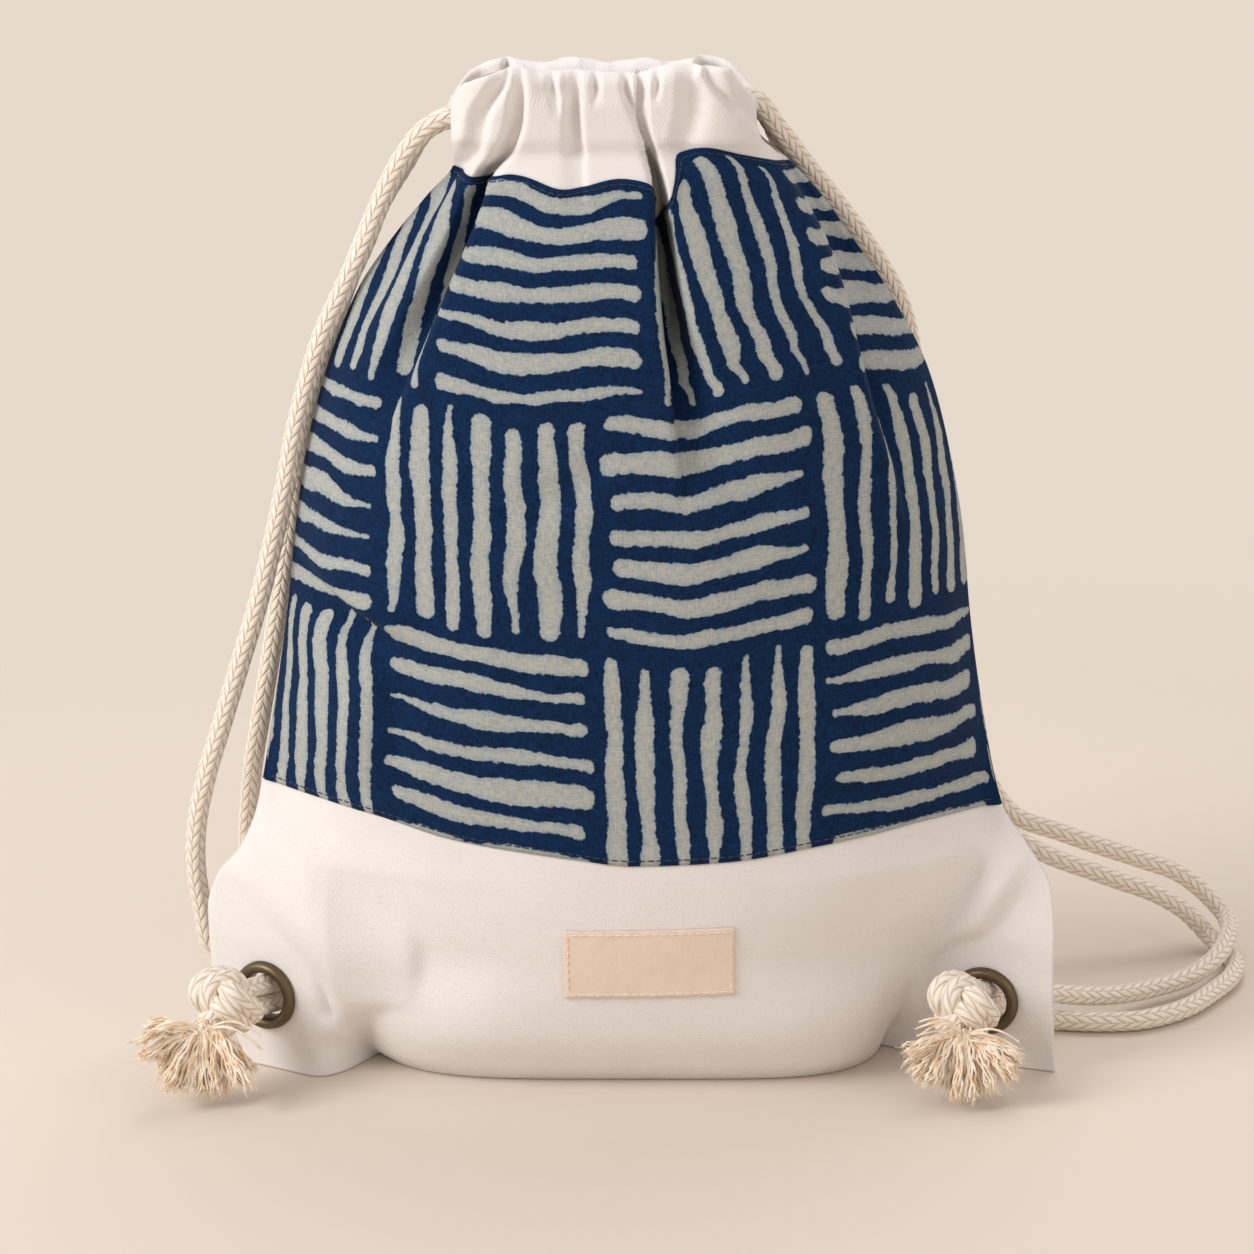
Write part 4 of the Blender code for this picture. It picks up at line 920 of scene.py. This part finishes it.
def smoothRoute(points, spacing, closed=False):
    # evenly spaced points on a smooth curve through the route's own points
    route = np.array([tuple(p) for p in points], dtype=float)
    if closed:
        route = np.concatenate([route, route[:1]])
    steps = np.diff(route, axis=0)
    chords = np.linalg.norm(steps, axis=1)
    ways = steps / chords[:, None]
    share = (chords[:-1] / (chords[:-1] + chords[1:]))[:, None]
    inner = ways[:-1] * (1 - share) + ways[1:] * share
    ends = (ways[:1], ways[-1:])
    if closed:
        ends = ((ways[:1] + ways[-1:]) / 2, (ways[:1] + ways[-1:]) / 2)
    tangents = np.concatenate([ends[0], inner, ends[1]])
    t = np.linspace(0, 1, 24, endpoint=False)[None, :, None]
    size = chords[:, None, None]
    fine = (route[:-1, None] * (1 + 2 * t) * (1 - t) ** 2 + tangents[:-1, None] * size * t * (1 - t) ** 2
            + route[1:, None] * t * t * (3 - 2 * t) + tangents[1:, None] * size * t * t * (t - 1))
    fine = np.concatenate([fine.reshape(-1, 3), route[-1:]])
    lengths = np.concatenate([[0.0], np.cumsum(np.linalg.norm(np.diff(fine, axis=0), axis=1))])
    wanted = np.linspace(0.0, lengths[-1], int(round(lengths[-1] / spacing)) + 1)
    return np.stack([np.interp(wanted, lengths, fine[:, i]) for i in range(3)], axis=1), lengths[-1]


def braidHeight(u, v):
    # relief of the braid, 0 in the crevices to 1 on the strands, at u round the rope and v along it
    column = np.floor(u * ropeSet["columns"])
    within = u * ropeSet["columns"] - column
    way = np.where(column % 2 == 0, 1.0, -1.0)
    phase = v / ropeSet["pitch"] + way * (within - 0.5) * ropeSet["slant"] + 0.5 * (column % 2)
    turn = phase - np.floor(phase)
    return (1.0 - np.abs(2 * turn - 1) ** 2.4) * (1.0 - 0.55 * np.abs(2 * within - 1) ** 3)


def braidTube(points, radius, twist=0.0, closed=False):
    # round tube of rings along the points, with the braid's relief; uv is turns round and millimetres along
    around = ropeSet["around"]
    ways = np.gradient(points, axis=0)
    ways = ways / np.linalg.norm(ways, axis=1)[:, None]
    normal = np.cross(ways[0], (0.3, 0.2, 0.9))
    normal = normal / np.linalg.norm(normal)
    along = np.concatenate([[0.0], np.cumsum(np.linalg.norm(np.diff(points, axis=0), axis=1))])
    u = np.linspace(0.0, 1.0, around + 1)
    rows = []
    uvs = []
    for place, way, v in zip(points, ways, along):
        normal = normal - way * (normal @ way)
        normal = normal / np.linalg.norm(normal)
        other = np.cross(way, normal)
        angle = 2 * math.pi * (u + twist * v)
        size = radius + ropeSet["relief"] * (braidHeight(u, v) - 0.75)
        ring = np.cos(angle)[:, None] * normal + np.sin(angle)[:, None] * other
        rows.append(place + size[:, None] * ring)
        uvs.append(np.stack([u, v * mm + 0 * u], axis=1))
    bm = gridMesh(np.array(rows), "braid", np.array(uvs))
    bmesh.ops.remove_doubles(bm, verts=bm.verts[:], dist=2e-6)
    bmesh.ops.holes_fill(bm, edges=[e for e in bm.edges if e.is_boundary], sides=0)
    bmesh.ops.recalc_face_normals(bm, faces=bm.faces[:])
    return bm


def makeBraid():
    # cotton braid, plaited in a herringbone: creamy, matt, with painted shade between the strands, and fine
    # yarns
    look, tree, shader = newMaterial("braided cotton")
    uv = addNode(tree, "UVMap", uv_map="braid")[0]
    parts = addNode(tree, "SeparateXYZ", uv)
    turns = addNode(tree, "Math MULTIPLY", parts[0], float(ropeSet["columns"]))[0]
    column = addNode(tree, "Math FLOOR", turns)[0]
    within = addNode(tree, "Math FRACT", turns)[0]
    odd = addNode(tree, "Math MODULO", column, 2.0)[0]
    way = addNode(tree, "Math MULTIPLY_ADD", odd, -2.0 * ropeSet["slant"], ropeSet["slant"])[0]
    middle = addNode(tree, "Math SUBTRACT", within, 0.5)[0]
    phase = addNode(tree, "Math MULTIPLY", parts[1], 1000.0 / ropeSet["pitch"])[0]
    phase = addNode(tree, "Math MULTIPLY_ADD", way, middle, phase)[0]
    phase = addNode(tree, "Math MULTIPLY_ADD", odd, 0.5, phase)[0]
    turn = addNode(tree, "Math FRACT", phase)[0]
    turn = addNode(tree, "Math SUBTRACT", turn, 0.5)[0]
    turn = addNode(tree, "Math ABSOLUTE", turn)[0]
    strand = addNode(tree, "MapRange", turn, 0.5, 0.28, interpolation_type="SMOOTHSTEP")[0]
    border = addNode(tree, "Math ABSOLUTE", middle)[0]
    border = addNode(tree, "MapRange", border, 0.5, 0.36, 0.45, interpolation_type="SMOOTHSTEP")[0]
    raised = addNode(tree, "Math MULTIPLY", strand, border)[0]
    yarnPhase = addNode(tree, "Math MULTIPLY", phase, 7.0)[0]
    yarnPlace = addNode(tree, "CombineXYZ", yarnPhase, column, within)[0]
    yarns = addNode(tree, "TexNoise", {"Vector": yarnPlace, "Scale": 1.0, "Detail": 2.0})["Fac"]
    height = addNode(tree, "Math MULTIPLY_ADD", yarns, 0.3, raised)[0]
    warm = addNode(tree, "MapRange", yarns, 0.3, 0.7)[0]
    tone = addNode(tree, "Mix", {0: warm, 6: linear(ropeSet["cotton"]), 7: linear(ropeSet["warm"])},
                   data_type="RGBA")[2]
    # painted shade: the crevices between the raised strands take the darker crevice colour
    tone = addNode(tree, "Mix", {0: raised, 6: linear(ropeSet["creviceShade"]), 7: tone}, data_type="RGBA")[2]
    bump = addNode(tree, "Bump", {"Height": height, "Strength": 0.6, "Distance": 0.0008})[0]
    fillSockets(tree, shader, {"Base Color": tone, "Normal": bump, "Roughness": 0.9, "Sheen Weight": 0.15,
                               "Specular IOR Level": 0.2})
    return look


braidLook = makeBraid()
for side in ("left", "right"):
    points, length = smoothRoute(routes[side], ropeSet["ring"])
    piece = newPiece(side + "Rope", braidTube(points, bag["ropeRadius"]), braidLook)
    asPart(piece, side + "_rope")
    print("rope", side, round(length))

# Knots: each rope's two ends tied together, drawn tight into a ball of crossing braid

def knotFrame(side):
    # matrix in millimetres whose +Z leaves the eyelet towards the knot and whose +Y points up
    axis = knotAxis(side)
    up = (Vector((0, 0, 1)) - axis * axis.z).normalized()
    upright = Matrix((up.cross(axis), up, axis)).transposed().to_4x4()
    turn = Matrix.Rotation(math.radians(knotSet[side]["turn"]), 4, "Z")
    return Matrix.Translation(knotSet[side]["centre"]) @ upright @ turn


def placed(points, matrix):
    return points @ np.array(matrix.to_3x3()).T + np.array(matrix.translation)


def tightKnot(side):
    # overhand knot's own curve, fat enough for its turns to press together
    t = np.linspace(0.0, 2 * math.pi, 73)[:-1]
    path = np.stack([3.1 * (np.sin(t) + 2 * np.sin(2 * t)), 2.9 * (np.cos(t) - 2 * np.cos(2 * t)),
                     -6.4 * np.sin(3 * t)], axis=1)
    ways = np.roll(path, -1, axis=0) - np.roll(path, 1, axis=0)
    ways = ways / np.linalg.norm(ways, axis=1)[:, None]
    outward = path - ways * np.sum(path * ways, axis=1)[:, None]
    outward = outward / np.linalg.norm(outward, axis=1)[:, None]
    beside = np.cross(ways, outward)
    both = bmesh.new()
    for strand in (-1.0, 1.0):
        own = path + strand * knotSet["apart"] * (beside * math.cos(0.5) + outward * math.sin(0.5))
        points = placed(own, knotFrame(side))
        points = points + (points - np.array(knotSet[side]["centre"])) * (0.0, 0.0, knotSet["tall"])
        points, length = smoothRoute(points, 1.0, closed=True)
        tube = braidTube(points, knotSet["strand"])
        part = bpy.data.meshes.new("strand")
        tube.to_mesh(part)
        tube.free()
        both.from_mesh(part)
        bpy.data.meshes.remove(part)
    return both


# Frayed ends: a fan of crimped yarns, each split at its tip

tasselSet = {
    "left": {"root": (-6.0, -12.5, -5.5), "fan": (-98.0, 62.0), "reach": 24.0, "clumps": 34, "seed": 5},
    "right": {"root": (0.0, -12.5, -6.0), "fan": (-92.0, 80.0), "reach": 22.5, "clumps": 32, "seed": 9},
    "yarns": 10, "yarnRadius": 0.52, "fibreRadius": 0.2,
    # deep is a warm painted shade colour for the inside of the tassel
    "cotton": "#fdf1e1", "deep": "#ebcba4",
}


def fanLines(side):
    # yarns and split fibres of one tassel, in millimetres
    own = tasselSet[side]
    dice = np.random.default_rng(own["seed"])
    root = np.array(knotSet[side]["centre"]) + np.array(own["root"])
    yarns = []
    fibres = []
    for clump in range(own["clumps"]):
        share = (clump + dice.uniform(0.1, 0.9)) / own["clumps"]
        share = (share * 7) % 1.0
        angle = math.radians(own["fan"][0] + (own["fan"][1] - own["fan"][0]) * share)
        layer = dice.uniform(-1.0, 1.0)
        length = own["reach"] * dice.uniform(0.86, 1.06)
        aim = np.array([math.sin(angle), -0.25 - 0.28 * layer, -math.cos(angle)])
        start = root + np.array([5.5 * math.sin(angle), 2.2 * layer, 1.5 - 2.5 * abs(math.sin(angle))])
        for yarn in range(tasselSet["yarns"]):
            tip = root + aim * length * dice.uniform(0.93, 1.05) + dice.normal(0.0, 1.1, 3)
            tip[2] = max(tip[2], 0.9)
            begin = start + dice.normal(0.0, 1.2, 3)
            arch = np.array([0.0, -2.5 - 1.5 * layer, 3.2 * abs(math.sin(angle)) + 1.5])
            middle = begin * 0.5 + tip * 0.5 + arch
            t = np.linspace(0.0, 1.0, 11)[:, None]
            line = begin * (1 - t) ** 2 + middle * 2 * t * (1 - t) + tip * t * t
            side1 = np.cross(tip - begin, (0.0, 1.0, 0.2))
            side1 = side1 / np.linalg.norm(side1)
            side2 = np.cross(tip - begin, side1)
            side2 = side2 / np.linalg.norm(side2)
            waves, phase1, phase2 = dice.uniform(1.4, 3.2), dice.uniform(0, 6.3), dice.uniform(0, 6.3)
            line = line + 0.75 * np.sqrt(t) * (np.sin(2 * math.pi * waves * t + phase1) * side1
                                               + np.sin(2 * math.pi * waves * 0.8 * t + phase2) * side2)
            line[:, 2] = np.maximum(line[:, 2], 0.7)
            yarns.append(line)
            for split in range(3):
                end = tip + (tip - line[-3]) * dice.uniform(0.1, 0.35) + dice.normal(0.0, 1.0, 3)
                fibre = np.array([line[-4], line[-2], (line[-1] + end) / 2 + dice.normal(0.0, 0.3, 3), end])
                fibre[:, 2] = np.maximum(fibre[:, 2], 0.4)
                fibres.append(fibre)
    for wisp in range(9):
        angle = math.radians(dice.uniform(-118.0, -80.0) if wisp % 3 else dice.uniform(70.0, 95.0))
        aim = np.array([math.sin(angle), -0.3, -math.cos(angle)])
        tip = root + aim * own["reach"] * dice.uniform(0.7, 1.0)
        t = np.linspace(0.0, 1.0, 9)[:, None]
        arch = np.array([0.0, -3.0, 5.0]) * np.sin(math.pi * t) * dice.uniform(0.5, 1.3)
        yarns.append(root * (1 - t) + tip * t + arch)
    return yarns, fibres


def tubeMesh(name, groups):
    # one mesh of thin tubes: groups are (lines in millimetres, radius, share of the radius left at the tip)
    data = bpy.data.curves.new(name, "CURVE")
    data.dimensions = "3D"
    data.bevel_depth = mm
    data.bevel_resolution = 1
    data.use_fill_caps = True
    for lines, radius, taper in groups:
        for line in lines:
            spline = data.splines.new("POLY")
            spline.points.add(len(line) - 1)
            for k, (point, place) in enumerate(zip(spline.points, line)):
                point.co = (*(np.array(place) * mm), 1.0)
                point.radius = radius * (1 - (1 - taper) * k / (len(line) - 1))
    curve = bpy.data.objects.new(name, data)
    bpy.context.scene.collection.objects.link(curve)
    bpy.context.view_layer.update()
    mesh = bpy.data.meshes.new_from_object(curve.evaluated_get(bpy.context.evaluated_depsgraph_get()))
    bpy.data.objects.remove(curve)
    bm = bmesh.new()
    bm.from_mesh(mesh)
    bpy.data.meshes.remove(mesh)
    return bm


def makeFray():
    # loose cotton yarn, combed out: pale and soft, with random patches of warm painted shade for the depth of
    # the tassel
    look, tree, shader = newMaterial("frayed cotton")
    place = addNode(tree, "TexCoord")["Object"]
    patch = addNode(tree, "TexNoise", {"Vector": place, "Scale": 260.0, "Detail": 2.0})["Fac"]
    share = addNode(tree, "MapRange", patch, 0.4, 0.72)[0]
    # painted shade: random patches are mixed towards the warm deep colour
    tone = addNode(tree, "Mix", {0: share, 6: linear(tasselSet["cotton"]), 7: linear(tasselSet["deep"])},
                   data_type="RGBA")[2]
    fillSockets(tree, shader, {"Base Color": tone, "Roughness": 0.95, "Sheen Weight": 0.2,
                               "Specular IOR Level": 0.15})
    return look


frayLook = makeFray()
for side in ("left", "right"):
    knot = asPart(newPiece(side + "Knot", tightKnot(side), braidLook), side + "_knot")
    yarns, fibres = fanLines(side)
    groups = [(yarns, tasselSet["yarnRadius"], 0.75), (fibres, tasselSet["fibreRadius"], 0.5)]
    bm = tubeMesh(side + "Tassel", groups)
    tassel = asPart(newPiece(side + "Tassel", bm, frayLook), side + "_tassel")
print("knots and tassels")


# Eyelets: turned and pressed brass, the face domed and the barrel closed over a washer

# the pale edge colour is partly rubbed wear and partly a painted highlight
eyeletSet = {"hole": 9.5, "rim": 14.25, "dome": 3.5, "wall": 0.7, "washer": 13.5, "washerThick": 1.0,
             "steps": 72, "brass": "#463a2c", "rubbedHighlight": "#8a7a60", "dark": "#17120c"}


def earFrame(side):
    turn = ears[side]["turn"]
    out = Vector((-math.sin(turn), -math.cos(turn), 0.0))
    up = Vector((0.0, 0.0, 1.0))
    turned = Matrix((up.cross(out), up, out)).transposed().to_4x4()
    return Matrix.Translation(Vector(ears[side]["centre"]) * mm) @ turned


def lathe(profile, place):
    # closed ring turned about +Z from (radius, height) points, then moved to its place
    bm = bmesh.new()
    verts = [bm.verts.new((r * mm, 0.0, h * mm)) for r, h in profile]
    edges = [bm.edges.new((verts[i], verts[(i + 1) % len(verts)])) for i in range(len(verts))]
    bmesh.ops.spin(bm, geom=verts + edges, cent=(0, 0, 0), axis=(0, 0, 1), angle=2 * math.pi,
                   steps=eyeletSet["steps"], use_merge=True)
    bmesh.ops.remove_doubles(bm, verts=bm.verts[:], dist=1e-6)
    bmesh.ops.recalc_face_normals(bm, faces=bm.faces[:])
    bmesh.ops.transform(bm, matrix=place, verts=bm.verts[:])
    return bm


def makeBrass():
    # antique brass, plated and rubbed: brown in the hollows, paler on the raised edges, partly rubbed wear
    # and partly a painted highlight
    look, tree, shader = newMaterial("antique brass plate")
    place = addNode(tree, "TexCoord")["Object"]
    patch = addNode(tree, "TexNoise", {"Vector": place, "Scale": 190.0, "Detail": 4.0})["Fac"]
    edge = addNode(tree, "NewGeometry")["Pointiness"]
    rubAndHighlight = addNode(tree, "MapRange", edge, 0.49, 0.56)[0]
    tone = addNode(tree, "Mix", {0: patch, 6: linear(eyeletSet["brass"]), 7: linear(eyeletSet["dark"])},
                   data_type="RGBA")[2]
    # raised edges are paler: rubbed wear together with a painted highlight
    tone = addNode(tree, "Mix", {0: rubAndHighlight, 6: tone, 7: linear(eyeletSet["rubbedHighlight"])}, data_type="RGBA")[2]
    rough = addNode(tree, "MapRange", patch, 0.3, 0.7, 0.34, 0.52)[0]
    fillSockets(tree, shader, {"Base Color": tone, "Roughness": rough, "Metallic": 0.9})
    return look


brassLook = makeBrass()


def domedRing():
    # outline of the face, barrel and rolled lip, in radius and height
    hole, rim, dome = eyeletSet["hole"], eyeletSet["rim"], eyeletSet["dome"]
    seat = bag["earLayer"] + 0.3
    barrel = hole + eyeletSet["wall"]
    back = -(seat + eyeletSet["washerThick"] + 0.3)
    middle, half = (hole + rim) / 2, (rim - hole) / 2
    arch = [(middle - half * math.cos(a), seat + 0.25 + (dome - 0.25) * math.sin(a) ** 0.8)
            for a in np.linspace(0.0, math.pi, 15)]
    lip = [(barrel + 1.05 - 1.05 * math.cos(a), back - 0.9 * math.sin(a))
           for a in np.linspace(math.pi, 0.0, 7)]
    flange = [(rim, seat + 0.2), (rim - 0.2, seat), (barrel, seat), (barrel, back)]
    return arch + flange + lip + [(hole, back + 0.2)]


def washerRing():
    inner, outer = eyeletSet["hole"] + eyeletSet["wall"] + 0.3, eyeletSet["washer"]
    front = -(bag["earLayer"] + 0.3)
    back = front - eyeletSet["washerThick"]
    return [(inner, front), (inner, back + 0.1), (inner + 0.2, back), (outer - 0.8, back - 0.15),
            (outer - 0.25, back), (outer, back + 0.35), (outer, front)]


for side in ("left", "right"):
    for part, outlineOf in (("face", domedRing), ("washer", washerRing)):
        ring = newPiece(side + "Eyelet" + part.title(), lathe(outlineOf(), earFrame(side)), brassLook)
        asPart(ring, side + "_eyelet_" + part)
print("eyelets")


# Label and sewing thread

labelSet = {"size": (67.0, 29.0), "thick": 0.6, "centre": (7.6, 57.4), "turn": math.radians(0.8), "hem": 1.6,
            "lift": 0.9, "hemLift": 0.95, "hemRadius": 0.2,
            "cloth": "#f0ddcf", "clothWarm": "#e7cfbc", "thread": "#f3e8d8"}
threadSet = {"dark": "#0c1f3c", "length": 2.7, "pitch": 3.5, "radius": 0.24, "edge": 2.1}


def frontAt(x, z, lift):
    # point above the front skin, and the skin's outward direction there
    x, z = np.asarray(x, dtype=float), np.asarray(z, dtype=float)
    here = np.stack([x, earPlane(x, z) - bulge(-1, x, z), z], axis=-1)
    right = np.stack([x + 0.5, earPlane(x + 0.5, z) - bulge(-1, x + 0.5, z), z], axis=-1)
    above = np.stack([x, earPlane(x, z + 0.5) - bulge(-1, x, z + 0.5), z + 0.5], axis=-1)
    out = np.cross(right - here, above - here)
    out = out / np.linalg.norm(out, axis=-1, keepdims=True)
    return here + lift * out, out


def onLabel(u, v):
    # x and z of a place on the label, from its middle
    turn = labelSet["turn"]
    return (labelSet["centre"][0] + u * math.cos(turn) - v * math.sin(turn),
            labelSet["centre"][1] + u * math.sin(turn) + v * math.cos(turn))


def labelGrid(lift):
    wide, high = labelSet["size"]
    u = np.linspace(-wide / 2, wide / 2, 69)[None, :]
    v = np.linspace(-high / 2, high / 2, 31)[:, None]
    x, z = onLabel(u, v)
    ripple = 0.12 * np.sin(0.55 * u + 0.7 * np.sin(0.35 * v)) * np.abs(2 * v / high) ** 3
    uvs = np.stack([u + 0 * v, v + 0 * u], axis=-1) * mm
    points, out = frontAt(x, z, lift)
    return points + ripple[..., None] * out, uvs


def makeLabelCloth():
    # cream tape, plain woven and heat cut: a fine square weave, warmer than the canvas
    look, tree, shader = newMaterial("woven label tape")
    place = threadPlace(tree)
    threads = threadBump(tree, place)
    patch = addNode(tree, "TexNoise", {"Vector": place, "Scale": 0.16, "Detail": 3.0})["Fac"]
    tone = addNode(tree, "Mix", {0: patch, 6: linear(labelSet["cloth"]), 7: linear(labelSet["clothWarm"])},
                   data_type="RGBA")[2]
    bump = addNode(tree, "Bump", {"Height": threads, "Strength": 0.3, "Distance": 0.0004})[0]
    fillSockets(tree, shader, {"Base Color": tone, "Normal": bump, "Roughness": 0.85})
    return look


def makeThread(code):
    # spun sewing thread: a slight sheen on each raised stitch
    look, tree, shader = newMaterial("sewing thread " + code)
    fillSockets(tree, shader, {"Base Color": linear(code), "Roughness": 0.7, "Sheen Weight": 0.2})
    return look


def stitches(points, outs):
    # short arched stitches along a line of points in millimetres, with the cloth's outward directions
    along = np.concatenate([[0.0], np.cumsum(np.linalg.norm(np.diff(points, axis=0), axis=1))])
    lines = []
    for first in np.arange(0.4, along[-1] - threadSet["length"], threadSet["pitch"]):
        spots = first + threadSet["length"] * np.array([0.0, 0.12, 0.5, 0.88, 1.0])
        lift = np.array([-0.35, 0.12, 0.22, 0.12, -0.35])
        line = np.stack([np.interp(spots, along, points[:, i]) for i in range(3)], axis=1)
        out = np.stack([np.interp(spots, along, outs[:, i]) for i in range(3)], axis=1)
        lines.append(line + lift[:, None] * out)
    return lines


points, uvs = labelGrid(labelSet["lift"])
label = clothPiece("clothLabel", "label", points, -1, makeLabelCloth(), uvs)
label.modifiers[0].thickness = labelSet["thick"] * mm

reach, rise = (size / 2 - labelSet["hem"] for size in labelSet["size"])
corners = [(-reach, -rise), (reach, -rise), (reach, rise), (-reach, rise)]
hem = []
for (u0, v0), (u1, v1) in zip(corners, corners[1:] + corners[:1]):
    share = np.linspace(0.0, 1.0, 60)
    x, z = onLabel(u0 + (u1 - u0) * share, v0 + (v1 - v0) * share)
    hem += stitches(*frontAt(x, z, labelSet["hemLift"]))
hemLook = makeThread(labelSet["thread"])
bm = tubeMesh("labelStitches", [(hem, labelSet["hemRadius"], 1.0)])
hemStitches = newPiece("labelStitches", bm, hemLook)
asPart(hemStitches)
print("label")

# Topstitching in indigo thread along both pressed edges of the print, front and back
topLook = makeThread(threadSet["dark"])
for side, word in ((-1, "front"), (1, "back")):
    s, low, high = seamHeights(side)
    spots = np.linspace(4, len(s) - 5, 900)
    s, low, high = (np.interp(spots, np.arange(len(s)), row) for row in (s, low, high))
    rows = []
    for z in (low + threadSet["edge"] - bag["lap"], high - threadSet["edge"] + bag["lap"]):
        here = proudSkin(side, s, z, low - bag["lap"], high + bag["lap"])
        face = skin(side, s, z)
        out = np.cross(skin(side, s + 0.002, z) - face, skin(side, s, z + 0.4) - face) * -side
        out = out / np.linalg.norm(out, axis=-1, keepdims=True)
        rows += stitches(here, out)
    bm = tubeMesh(word + "Topstitch", [(rows, threadSet["radius"], 1.0)])
    seam = newPiece(word + "Topstitch", bm, topLook)
    asPart(seam)
print("topstitches")
